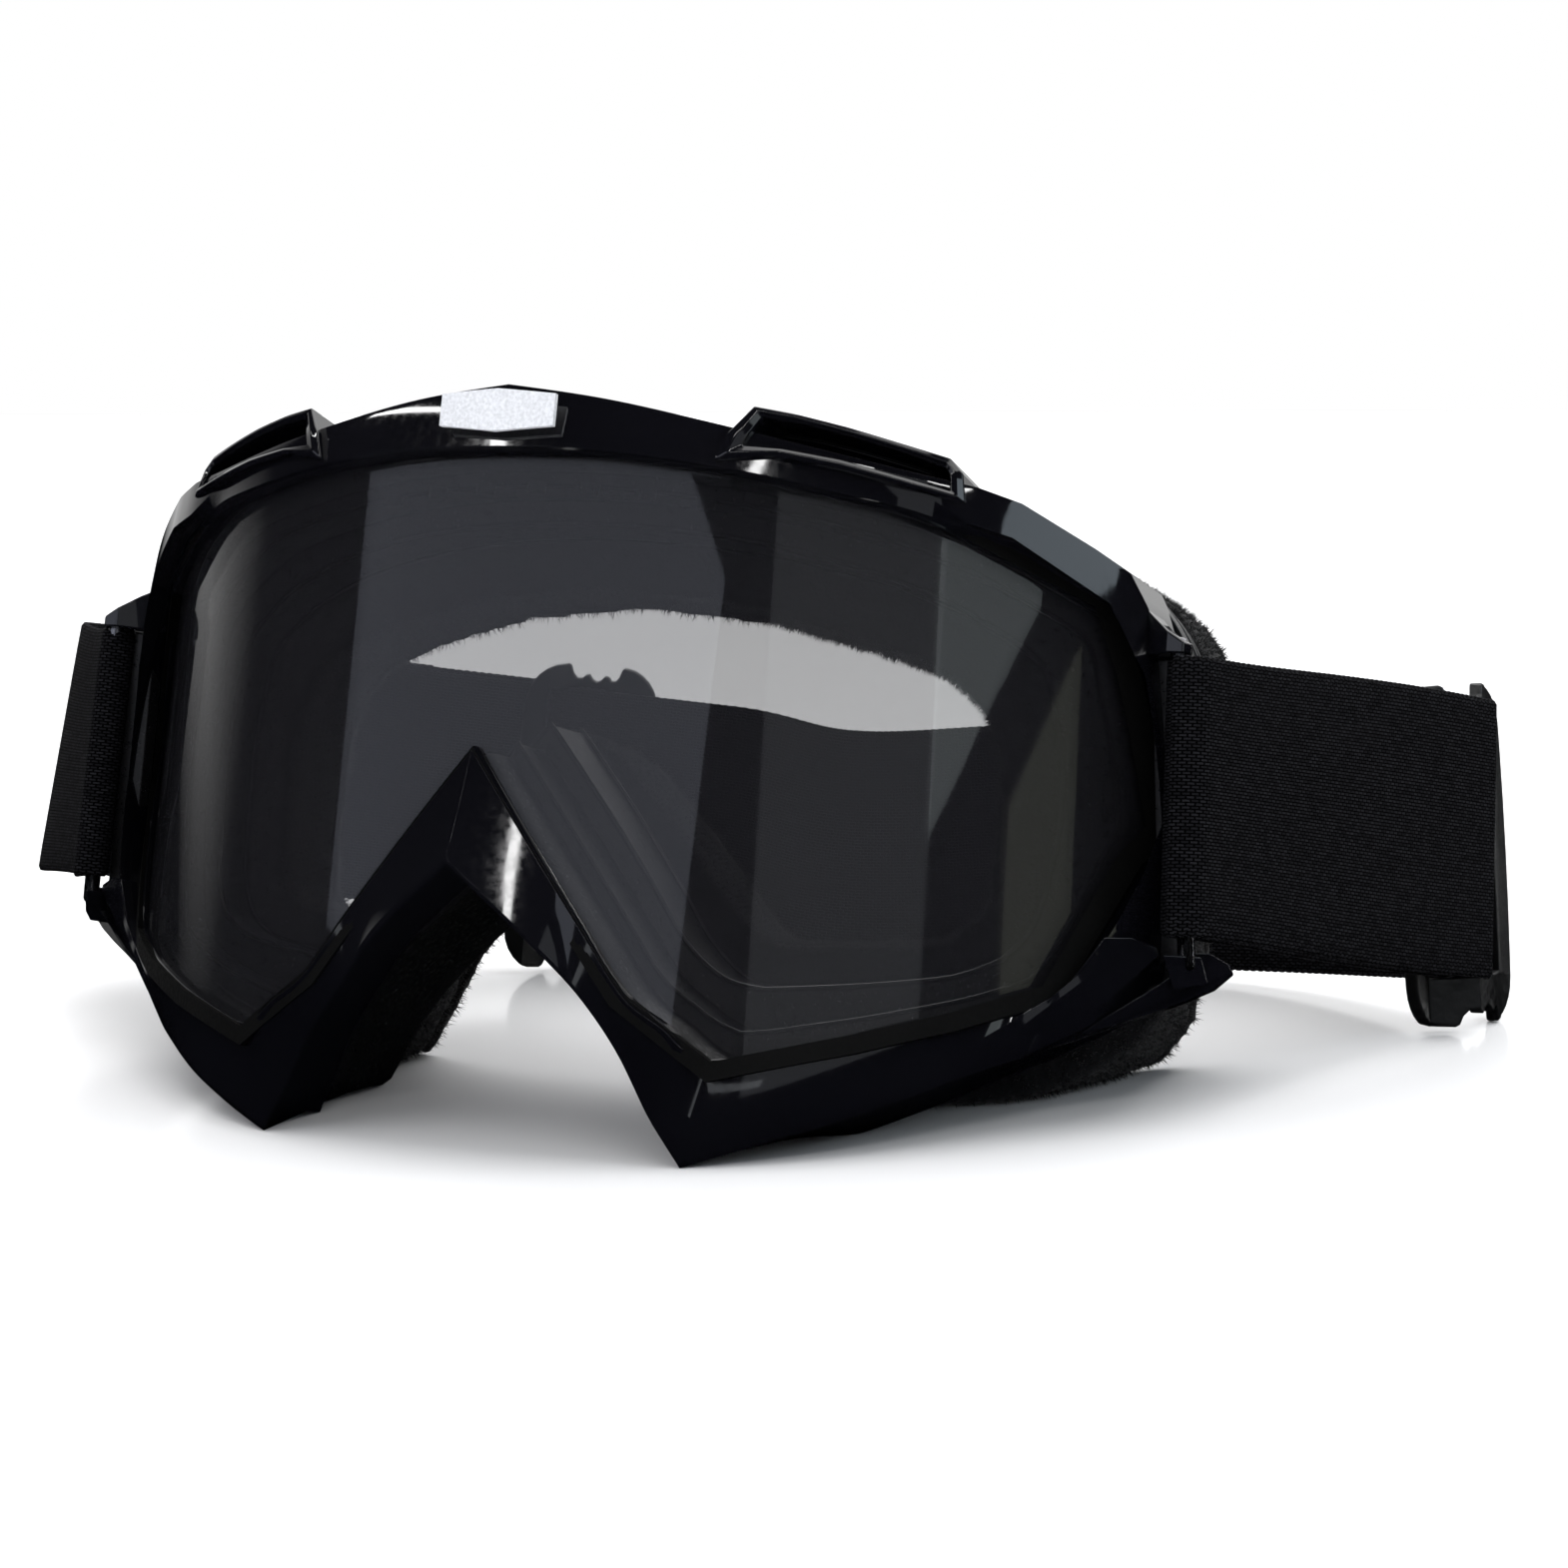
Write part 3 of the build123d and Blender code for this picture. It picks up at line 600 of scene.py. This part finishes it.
def smooth_path(points, first, last, step):
    """A smooth curve through points with these directions at its ends, as (point, direction) pairs."""
    p = np.array([tuple(v) for v in points])
    gaps = np.linalg.norm(np.diff(p, axis=0), axis=1)
    n = len(p)
    a, b = np.zeros((n, n)), np.zeros((n, 3))
    a[0, 0] = a[-1, -1] = 1
    b[0], b[-1] = first, last
    for i in range(1, n - 1):
        a[i, i - 1], a[i, i], a[i, i + 1] = gaps[i], 2 * (gaps[i - 1] + gaps[i]), gaps[i - 1]
        b[i] = 3 * (gaps[i] * (p[i] - p[i - 1]) / gaps[i - 1] + gaps[i - 1] * (p[i + 1] - p[i]) / gaps[i])
    m = np.linalg.solve(a, b)
    out = []
    for i in range(n - 1):
        count = max(2, int(gaps[i] / step))
        for k in range(count):
            t, g = k / count, gaps[i]
            point = ((2 * t**3 - 3 * t**2 + 1) * p[i] + (t**3 - 2 * t**2 + t) * g * m[i]
                     + (3 * t**2 - 2 * t**3) * p[i + 1] + (t**3 - t**2) * g * m[i + 1])
            slope = ((6 * t**2 - 6 * t) * p[i] / g + (3 * t**2 - 4 * t + 1) * m[i]
                     + (6 * t - 6 * t**2) * p[i + 1] / g + (3 * t**2 - 2 * t) * m[i + 1])
            out.append((Vector(point), Vector(slope).normalized()))
    out.append((Vector(p[-1]), Vector(last)))
    return out


def run(a, b, up, step=2.0):
    """(place, up) stations on a straight stretch, without its far end."""
    count = max(1, int((b - a).length / step))
    return [(a + (b - a) * i / count, up) for i in range(count)]


def pin_turn(foot, along, out, up):
    """Stations of the half turn round a pin."""
    centre = foot + out * LOOP_N / 2
    return [(centre + (along * math.cos(t) + out * math.sin(t)) * LOOP_N / 2, up)
            for t in (math.radians(90 + 7.5 * i) for i in range(25))]


line = run(left_foot + left_dir * 18 + left_out * LOOP_N, left_foot + left_out * LOOP_N, left_up)
line += pin_turn(left_foot, left_dir, left_out, left_up)
line += run(left_foot, left_at, left_up)[1:]
TURN, TURN_R = 76, 8  # degrees and radius of the bend behind the left adjuster
for i in range(19):
    t = math.radians(TURN * i / 18)
    line.append((left_at - left_out * TURN_R + (left_out * math.cos(t) + left_dir * math.sin(t)) * TURN_R, left_up))
t = math.radians(TURN)
run_end = ADJUSTER_R + right_dir * 24
leaving = left_dir * math.cos(t) - left_out * math.sin(t)
back = smooth_path([line[-1][0], *BACK_RUN, run_end], leaving, -right_dir, 2.0)
for i, (p, d) in enumerate(back[1:], 1):
    line.append((p, left_up.lerp(right_up, i / (len(back) - 1))))
line += run(run_end, BEND_R, right_up)[1:]
bend = smooth_path([BEND_R, right_foot], -right_dir, pin_dir, 1.5)
inner_leg = []
for i, (p, d) in enumerate(bend):
    share = i / (len(bend) - 1)
    up = (right_up.lerp(pin_up, share) + Vector((0.1, 0, 0)) * math.sin(math.pi * share)).normalized()
    inner_leg.append((p, up, d.cross(up)))
line += [(p, up) for p, up, out in inner_leg]
line += list(reversed(pin_turn(right_foot, -pin_dir, pin_out, pin_up)))[1:]
outer_leg = []
for i, (p, up, out) in enumerate(reversed(inner_leg)):
    if i:
        outer_leg.append((p + out * (LOOP_N + (FIXED_N - LOOP_N) * i / (len(inner_leg) - 1)), up))
line += outer_leg
sewn_end = ADJUSTER_R - right_dir * 28 + right_out * FIXED_N
line += run(outer_leg[-1][0], sewn_end, right_up)[1:]
line.append((sewn_end, right_up))


def ribbon(name, stations, flare, step=0.42, pitch=1.26):
    """Elastic webbing with rounded, finely scalloped edges, and UVs in strap millimetres / 40.

    flare is a list of (place, extra width there, reach): it spreads in an adjuster and gathers at a pin.
    """
    places = [np.array(tuple(p)) for p, up in stations]
    ups = [np.array(tuple(up)) for p, up in stations]
    travel = [0.0]
    for a, b in zip(places, places[1:]):
        travel.append(travel[-1] + np.linalg.norm(b - a))
    count = int(travel[-1] / step)
    marks = np.linspace(0, travel[-1], count)
    track = np.array([np.interp(marks, travel, [p[k] for p in places]) for k in range(3)]).T
    rise = np.array([np.interp(marks, travel, [u[k] for u in ups]) for k in range(3)]).T
    columns = [-1.0, -0.97, -0.8, -0.5, -0.2, 0.2, 0.5, 0.8, 0.97, 1.0]
    rows, marks_uv = [], []
    for i in range(count):
        ahead = Vector(track[min(i + 3, count - 1)] - track[max(i - 3, 0)]).normalized()
        up = crossing(ahead, Vector(rise[i]))
        out = ahead.cross(up)
        scallop = 0.22 * math.sin(2 * math.pi * marks[i] / pitch)
        middle = Vector(track[i])
        extra = sum(wide * math.exp(-((middle - at).length / reach) ** 2) for at, wide, reach in flare)
        row = []
        for face in (1, -1):
            for c in (columns if face == 1 else reversed(columns)):
                half = (STRAP_W + extra) / 2 - 0.25
                edge = scallop if abs(c) > 0.9 else 0.0
                thick = WEB / 2 * (0.35 if abs(c) == 1.0 else 0.92 if abs(c) == 0.97 else 1.0)
                row.append((middle + up * (c * half + math.copysign(edge, c)) + out * face * thick) * MM)
        rows.append(row)
        marks_uv.append([c * 0.5 for c in columns] + [c * 0.5 for c in reversed(columns)])
    piece = swept(name, rows, closed=False)
    layer = piece.data.uv_layers.new(name="strap")
    width = len(rows[0])
    for loop in piece.data.loops:
        i, j = divmod(loop.vertex_index, width)
        layer.data[loop.index].uv = (marks[i] / STRAP_W, marks_uv[i][j])
    return piece


FLARE = [(left_at, 2.2, 45.0), (pin_mid, -2.4, 30.0), (mirrored(pin_mid), -2.0, 25.0),
         (Vector((-107, 80, 37)), 1.8, 22.0)]
webbing = ribbon("strap_webbing_elastic", line, FLARE)


def return_leg(name, at, along, out, up, length, turn_from=()):
    """The leg that goes round an adjuster's middle bar and is sewn back onto itself."""
    hem_n = RETURN_N - WEB - 0.02
    wrap = RETURN_N - BAR_N

    def spot(x, n):
        return at + along * x + out * n

    path = [(foot + along * -math.sin(t) * reach + out * (math.cos(t) * reach + lift), up)
            for foot, reach, lift in turn_from for t in (math.radians(84 - 6 * k) for k in range(14))]
    path += run(spot(-length, RETURN_N), spot(1.0, RETURN_N), up)
    for i in range(25):
        t = math.radians(90 - 7.5 * i)
        path.append((spot(1.0 + wrap * math.cos(t), BAR_N + wrap * math.sin(t)), up))
    path.append((spot(-1.5, BAR_N - wrap), up))
    for i in range(1, 9):
        s = i / 8
        path.append((spot(-1.5 - 7.5 * s, BAR_N - wrap + (hem_n - BAR_N + wrap) * (3 * s * s - 2 * s**3)), up))
    path.append((spot(-22.0, hem_n), up))
    return ribbon(name, path, FLARE)


returns = [return_leg("strap_return_left_elastic", left_at, left_dir, left_out, left_up, left_run - 0.6,
                      [(left_foot, RETURN_N - LOOP_N / 2, LOOP_N / 2)]),
           return_leg("strap_return_right_elastic", ADJUSTER_R, right_dir, right_out, right_up, 46.0)]


def adjuster(name, at, along, out, up, drop, tilt, low, high):
    """A moulded three-bar adjuster: rounded lobes with small teeth, two slots, and a raised middle bar.

    drop and tilt hang it off the webbing's middle line; low and high are the ends of its slots.
    """
    horn, shoulder, wide = 25.7, 19.5, 10.2
    ring = []
    for sign in (1, -1):
        corner = [(-wide, shoulder)]
        corner += [(-5.0 - (wide - 5.0) * math.cos(a), shoulder + (horn - shoulder) * math.sin(a))
                   for a in map(math.radians, (15, 30, 45, 60, 75))]
        corner += [(-4.6, horn), (-4.2, horn - 0.3), (-3.8, horn - 1.6), (-3.2, horn - 2.4), (-2.4, horn - 2.5),
                   (-1.9, horn - 1.9), (-1.3, horn - 1.8), (-0.7, horn - 2.6), (0.0, horn - 2.9)]
        corner += [(-x, h) for x, h in reversed(corner[:-1])]
        ring += [(x * sign, h * sign) for x, h in corner]
    holes = [[(x + dx, h) for x, h in ((-2.4, low), (2.4, low), (2.4, high), (-2.4, high))] for dx in (-4.5, 4.5)]
    curve = bpy.data.curves.new(name, "CURVE")
    curve.dimensions, curve.fill_mode = "2D", "BOTH"
    curve.extrude, curve.bevel_depth, curve.offset, curve.bevel_resolution = 0.75, 0.35, -0.35, 2
    for points in [ring] + holes:
        spline = curve.splines.new("POLY")
        spline.points.add(len(points) - 1)
        for p, (x, h) in zip(spline.points, points):
            p.co = (x, h, 0, 1)
        spline.use_cyclic_u = True
    flat_piece = bpy.data.objects.new(name + "_flat", curve)
    bpy.context.scene.collection.objects.link(flat_piece)
    mesh = bpy.data.meshes.new_from_object(flat_piece.evaluated_get(bpy.context.evaluated_depsgraph_get()))
    bpy.data.objects.remove(flat_piece)
    bm = bmesh.new()
    bm.from_mesh(mesh)
    cuts = [((x, 0, 0), (1, 0, 0)) for x in (-9.6, -7.1, -4.6, -2.2, 0.0, 2.2, 4.6, 7.1, 9.6)]
    cuts += [((0, h, 0), (0, 1, 0)) for h in (-24, -16, -8, 0, 8, 16, 24)]
    for place, facing in cuts:
        whole = bm.verts[:] + bm.edges[:] + bm.faces[:]
        bmesh.ops.bisect_plane(bm, geom=whole, plane_co=place, plane_no=facing)
    bmesh.ops.remove_doubles(bm, verts=bm.verts[:], dist=0.0001)
    knees = [(-12, -2.0), (-7.1, -2.0), (-2.2, BAR_N), (2.2, BAR_N), (7.1, 2.0), (12, 2.0)]
    c, s = math.cos(math.radians(tilt)), math.sin(math.radians(tilt))
    for v in bm.verts:
        x, h, n = v.co
        bow = 0.9 * (1 - (h / 26) ** 2) * max(0.0, (abs(x) - 6) / 4)
        n += np.interp(x, [k[0] for k in knees], [k[1] for k in knees])
        x += math.copysign(bow, x)
        v.co = (at + along * (x * c - h * s) + up * (x * s + h * c + drop) + out * n) * MM
    bmesh.ops.recalc_face_normals(bm, faces=bm.faces)
    bm.to_mesh(mesh)
    bm.free()
    mesh.polygons.foreach_set("use_smooth", [True] * len(mesh.polygons))
    piece = bpy.data.objects.new(name, mesh)
    bpy.context.scene.collection.objects.link(piece)
    piece.data.set_sharp_from_angle(angle=math.radians(35))
    return piece


adjusters = [adjuster("adjuster_plate_left", left_at, left_dir, left_out, left_up, -2.4, 8.0, -18.2, 21.6),
             adjuster("adjuster_plate_right", ADJUSTER_R, right_dir, right_out, right_up, -2.0, 0.0, -17.8, 21.6)]


# ------------------------------------------------------------------ materials
def shader(name, color, rough, **inputs):
    """A new material with these constants on its shader, and its nodes, links and shader."""
    mat = bpy.data.materials.new(name)
    mat.use_nodes = True
    bsdf = mat.node_tree.nodes["Principled BSDF"]
    bsdf.inputs["Base Color"].default_value = (*color, 1)
    bsdf.inputs["Roughness"].default_value = rough
    for key, value in inputs.items():
        bsdf.inputs[key.replace("_", " ")].default_value = value
    return mat, mat.node_tree.nodes, mat.node_tree.links, bsdf


def bump(nodes, links, bsdf, height, strength, distance, into=None):
    node = nodes.new("ShaderNodeBump")
    node.inputs["Strength"].default_value = strength
    node.inputs["Distance"].default_value = distance
    links.new(height, node.inputs["Height"])
    if into is not None:
        links.new(into, node.inputs["Normal"])
    links.new(node.outputs["Normal"], bsdf.inputs["Normal"])
    return node.outputs["Normal"]


def grain(nodes, links, scale, detail=3.0, stretch=None):
    """Noise in the object's own coordinates."""
    coords = nodes.new("ShaderNodeTexCoord")
    tex = nodes.new("ShaderNodeTexNoise")
    tex.inputs["Scale"].default_value = scale
    tex.inputs["Detail"].default_value = detail
    out = coords.outputs["Object"]
    if stretch:
        mapping = nodes.new("ShaderNodeMapping")
        mapping.inputs["Scale"].default_value = stretch
        links.new(out, mapping.inputs["Vector"])
        out = mapping.outputs["Vector"]
    links.new(out, tex.inputs["Vector"])
    return tex.outputs["Fac"]


def ramp(nodes, links, fac, low, high, start=0.35, end=0.65):
    node = nodes.new("ShaderNodeValToRGB")
    node.color_ramp.elements[0].position = start
    node.color_ramp.elements[1].position = end
    node.color_ramp.elements[0].color = (*low, 1) if isinstance(low, tuple) else (low, low, low, 1)
    node.color_ramp.elements[1].color = (*high, 1) if isinstance(high, tuple) else (high, high, high, 1)
    links.new(fac, node.inputs["Fac"])
    return node.outputs["Color"]


def gloss_plastic():
    mat, nodes, links, bsdf = shader("gloss black", (0.003, 0.003, 0.004), 0.05, IOR=1.52)
    flow = grain(nodes, links, 24, 2)
    fine = grain(nodes, links, 900, 2)
    links.new(ramp(nodes, links, fine, 0.035, 0.075), bsdf.inputs["Roughness"])
    links.new(ramp(nodes, links, flow, (0.002, 0.002, 0.003), (0.0035, 0.0035, 0.005)), bsdf.inputs["Base Color"])
    bump(nodes, links, bsdf, flow, 0.12, 0.0006)
    return mat


def matte_plastic(name, low, high, rough, scale=1500, shine=0.5):
    mat, nodes, links, bsdf = shader(name, high, rough, Specular_IOR_Level=shine)
    fine = grain(nodes, links, scale, 4)
    cloud = grain(nodes, links, 40, 3)
    links.new(ramp(nodes, links, cloud, low, high, 0.3, 0.7), bsdf.inputs["Base Color"])
    links.new(ramp(nodes, links, fine, rough - 0.08, rough + 0.1), bsdf.inputs["Roughness"])
    bump(nodes, links, bsdf, fine, 0.25, 0.0002)
    return mat


def smoke():
    mat, nodes, links, bsdf = shader("smoke lens", (0.012, 0.012, 0.014), 0.02, IOR=1.59, Alpha=0.5)
    fine = grain(nodes, links, 700, 2)
    links.new(ramp(nodes, links, fine, 0.012, 0.03), bsdf.inputs["Roughness"])
    return mat


def foam_fabric(name, low, high, sheen):
    mat, nodes, links, bsdf = shader(name, high, 0.95, Sheen_Weight=sheen, Sheen_Roughness=0.5,
                                     Specular_IOR_Level=0.05)
    fine = grain(nodes, links, 1400, 4)
    clump = grain(nodes, links, 260, 3)
    links.new(ramp(nodes, links, clump, low, high, 0.3, 0.7), bsdf.inputs["Base Color"])
    first = bump(nodes, links, bsdf, clump, 0.6, 0.0008)
    bump(nodes, links, bsdf, fine, 0.7, 0.0004, first)
    return mat


def elastic():
    """Knitted elastic: fine dashed ribs that run along the strap."""
    mat, nodes, links, bsdf = shader("woven elastic", (0.004, 0.004, 0.005), 0.85, Specular_IOR_Level=0.03)
    coords = nodes.new("ShaderNodeUVMap")
    coords.uv_map = "strap"
    mapping = nodes.new("ShaderNodeMapping")
    mapping.inputs["Scale"].default_value = (38.0, 46.0, 1.0)
    links.new(coords.outputs["UV"], mapping.inputs["Vector"])
    brick = nodes.new("ShaderNodeTexBrick")
    brick.inputs["Scale"].default_value = 1.0
    brick.inputs["Mortar Size"].default_value = 0.12
    brick.inputs["Mortar Smooth"].default_value = 0.8
    brick.inputs["Brick Width"].default_value = 0.9
    brick.inputs["Row Height"].default_value = 0.5
    brick.inputs["Color1"].default_value = (0.55, 0.55, 0.55, 1)
    brick.inputs["Color2"].default_value = (1, 1, 1, 1)
    brick.inputs["Mortar"].default_value = (0.05, 0.05, 0.05, 1)
    wobble = nodes.new("ShaderNodeTexNoise")
    wobble.inputs["Scale"].default_value = 6.0
    links.new(mapping.outputs["Vector"], wobble.inputs["Vector"])
    mix = nodes.new("ShaderNodeMix")
    mix.data_type = "RGBA"
    mix.inputs["Factor"].default_value = 0.12
    links.new(mapping.outputs["Vector"], mix.inputs["A"])
    links.new(wobble.outputs["Color"], mix.inputs["B"])
    links.new(mix.outputs["Result"], brick.inputs["Vector"])
    shade = ramp(nodes, links, brick.outputs["Color"], (0.0002, 0.0002, 0.0004), (0.0125, 0.0125, 0.0145),
                 0.25, 1.0)
    links.new(shade, bsdf.inputs["Base Color"])
    fuzz = grain(nodes, links, 2600, 3)
    first = bump(nodes, links, bsdf, brick.outputs["Color"], 1.0, 0.0006)
    bump(nodes, links, bsdf, fuzz, 0.4, 0.0001, first)
    return mat


def silver():
    mat, nodes, links, bsdf = shader("grained silver", (0.8, 0.81, 0.83), 0.42, Metallic=0.25)
    fine = grain(nodes, links, 2200, 3)
    links.new(ramp(nodes, links, fine, (0.64, 0.65, 0.67), (0.80, 0.81, 0.84)), bsdf.inputs["Base Color"])
    bump(nodes, links, bsdf, fine, 0.25, 0.0001)
    return mat


def steel():
    mat, nodes, links, bsdf = shader("dark steel wire", (0.16, 0.16, 0.17), 0.2, Metallic=1.0)
    fine = grain(nodes, links, 500, 3, stretch=(8, 8, 1))
    links.new(ramp(nodes, links, fine, 0.18, 0.34), bsdf.inputs["Roughness"])
    return mat


looks = {
    "gloss_frame": gloss_plastic(),
    "matte_frame": matte_plastic("matte black", (0.004, 0.004, 0.0045), (0.009, 0.009, 0.010), 0.34),
    "smoke_lens": smoke(),
    "black_rubber": matte_plastic("soft black", (0.002, 0.002, 0.002), (0.004, 0.004, 0.004), 0.6, shine=0.05),
    "filter_foam": foam_fabric("filter foam", (0.006, 0.006, 0.006), (0.02, 0.02, 0.02), 0.1),
    "face_foam": foam_fabric("flocked foam", (0.003, 0.003, 0.0035), (0.009, 0.009, 0.010), 0.12),
    "fleece": foam_fabric("black fleece", (0.005, 0.0045, 0.0045), (0.014, 0.013, 0.013), 0.15),
    "silver_badge": silver(),
    "steel_pin": steel(),
    "elastic_webbing": elastic(),
    "matte_adjuster": matte_plastic("satin black", (0.002, 0.002, 0.0022), (0.005, 0.005, 0.0055), 0.36, 900),
}


def dress(piece, slot, body, *nodes):
    piece.data.materials.clear()
    piece.data.materials.append(looks[slot])
    if body:
        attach(piece, body)
    if nodes:
        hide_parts(*nodes)


dress(front, "gloss_frame", "goggles", "front_frame")
for piece in scoops:
    dress(piece, "gloss_frame", "goggles")
dress(tails[0], "gloss_frame", "goggles", "strap_bracket_left")
dress(tails[1], "gloss_frame", "goggles", "strap_bracket_right")
for piece in walls:
    dress(piece, "matte_frame", "goggles")
for i, hand in enumerate(("left", "right")):
    dress(arms[i], "gloss_frame", "goggles", "strap_lug_" + hand)
    dress(wires[i], "steel_pin", "goggles", "strap_pin_" + hand)
    dress(adjusters[i], "matte_adjuster", "adjuster_" + hand, "strap_adjuster_" + hand)
dress(inner, "matte_frame", "goggles", "inner_frame")
for piece in beads:
    dress(piece, "gloss_frame", "goggles")
dress(foam, "face_foam", "goggles", "face_foam")
dress(foam_nap, "face_foam", "goggles")
dress(lining_nap, "fleece", "goggles")
dress(lining, "fleece", "goggles", "foam_lining")
for piece, node in zip(filters, ("vent_filter_top", "vent_filter_cheek_left", "vent_filter_cheek_right")):
    dress(piece, "filter_foam", "goggles", node)
dress(webbing, "elastic_webbing", "goggles", "strap_webbing")
dress(returns[0], "elastic_webbing", None, "strap_return_left")
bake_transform(returns[0])
dress(returns[1], "elastic_webbing", "adjuster_right", "strap_return_right")

slots = {s["node"]: s["material_slot"] for s in frame["record"]["subparts"]}
for name, node in frame["nodes"].items():
    for place in node.material_slots:
        place.material = looks[slots[name]]
for name in ("brow_badge", "lens", "frame_studs"):
    hard(frame["nodes"][name], 0.12, 30)

# ------------------------------------------------------------------ floor, light and camera
FLOOR_HALF = 2.2
floor_corners = [(x * FLOOR_HALF, y * FLOOR_HALF, 0) for x, y in ((-1, -1), (1, -1), (1, 1), (-1, 1))]
floor = make("floor", floor_corners, [(0, 1, 2, 3)], smooth=False)
floor_mat, nodes, links, bsdf = shader("pale floor", (0.93, 0.93, 0.94), 0.14)
cloud = grain(nodes, links, 3, 2)
links.new(ramp(nodes, links, cloud, (0.92, 0.92, 0.93), (0.94, 0.94, 0.95)), bsdf.inputs["Base Color"])
floor.data.materials.append(floor_mat)
floor.visible_glossy = False

# white to the camera and behind the goggles; to everything else dark in front of them and black below
world = bpy.data.worlds.new("studio")
world.use_nodes = True
nodes, links = world.node_tree.nodes, world.node_tree.links
plain = nodes["Background"]
plain.inputs["Color"].default_value = (1, 1, 1, 1)
room = nodes.new("ShaderNodeBackground")
split = nodes.new("ShaderNodeSeparateXYZ")
links.new(nodes.new("ShaderNodeTexCoord").outputs["Generated"], split.inputs["Vector"])
side = nodes.new("ShaderNodeMath")
side.operation = "MULTIPLY_ADD"
side.inputs[1].default_value = -0.6
links.new(split.outputs["X"], side.inputs[0])
links.new(split.outputs["Y"], side.inputs[2])
below = nodes.new("ShaderNodeMath")
below.operation = "MULTIPLY_ADD"
below.use_clamp = True
below.inputs[1].default_value = 12.0
below.inputs[2].default_value = 0.5
links.new(split.outputs["Z"], below.inputs[0])
links.new(below.outputs[0], room.inputs["Strength"])
links.new(ramp(nodes, links, side.outputs[0], 0.012, 1.0, 0.62, 1.1), room.inputs["Color"])
pick = nodes.new("ShaderNodeMixShader")
links.new(nodes.new("ShaderNodeLightPath").outputs["Is Camera Ray"], pick.inputs["Fac"])
links.new(room.outputs["Background"], pick.inputs[1])
links.new(plain.outputs["Background"], pick.inputs[2])
links.new(pick.outputs["Shader"], nodes["World Output"].inputs["Surface"])
bpy.context.scene.world = world
bpy.context.scene.view_settings.view_transform = "Standard"


def softbox(name, turn, lift, away, size, glow, tint=(1, 1, 1), glossy=True):
    """A soft panel seen from the goggles at turn degrees from the front, towards +X, and lift above the floor.

    One that isn't glossy lights surfaces but doesn't show in their reflections.
    """
    aim = Vector((0, 0.02, 0.06))
    a, e = math.radians(turn), math.radians(lift)
    at = aim + Vector((math.sin(a) * math.cos(e), -math.cos(a) * math.cos(e), math.sin(e))) * away
    light = bpy.data.lights.new(name, "AREA")
    light.shape = "RECTANGLE"
    light.size, light.size_y = size
    light.energy = glow * math.pi * size[0] * size[1]
    light.color = tint
    lamp = bpy.data.objects.new(name, light)
    lamp.location = at
    lamp.visible_glossy = glossy
    lamp.rotation_euler = (aim - at).to_track_quat("-Z", "Y").to_euler()
    bpy.context.scene.collection.objects.link(lamp)


softbox("overhead", 180, 60, 3.4, (6.0, 5.0), 2.6)
softbox("floor_fill", 180, 84, 3.0, (9.0, 9.0), 1.1, glossy=False)
softbox("front_left", -23, 23, 1.3, (2.0, 0.46), 0.95, (0.80, 0.85, 1.0))
softbox("front_right", 46, 14, 1.3, (0.74, 0.7), 0.42, (0.9, 0.94, 1.0))
softbox("upper_right", 72, 20, 1.3, (0.45, 0.32), 1.3, (0.86, 0.96, 0.98))
softbox("low_right", 84, 3, 1.3, (0.3, 0.3), 0.5, (0.96, 1.0, 0.8))
softbox("high_right", 97, 27, 1.3, (0.85, 0.42), 2.2, (0.78, 0.90, 1.0))
softbox("rim_right", 118, 2, 1.3, (0.05, 1.0), 9)
softbox("front_low", -8, 3, 1.3, (2.4, 0.06), 1.1, (0.9, 0.95, 1.0))
softbox("strip_left", -48, 40, 1.3, (1.3, 0.035), 26)
softbox("strip_right", 40, 44, 1.3, (0.9, 0.035), 22)

camera_data = bpy.data.cameras.new("camera")
camera_data.lens = 77.96
camera_data.sensor_width = 36.0
camera_data.clip_start = 0.01
camera = bpy.data.objects.new("camera", camera_data)
right, up = Vector((0.9223, 0.3860, -0.0202)), Vector((-0.0391, 0.1451, 0.9887))
rear = Vector((0.3845, -0.9111, 0.1490))
turn = Matrix((right, up, rear)).transposed().to_quaternion().to_matrix().to_4x4()
camera.matrix_world = Matrix.Translation(Vector((211.60, -389.62, 114.86)) * MM) @ turn
bpy.context.scene.collection.objects.link(camera)
bpy.context.scene.camera = camera
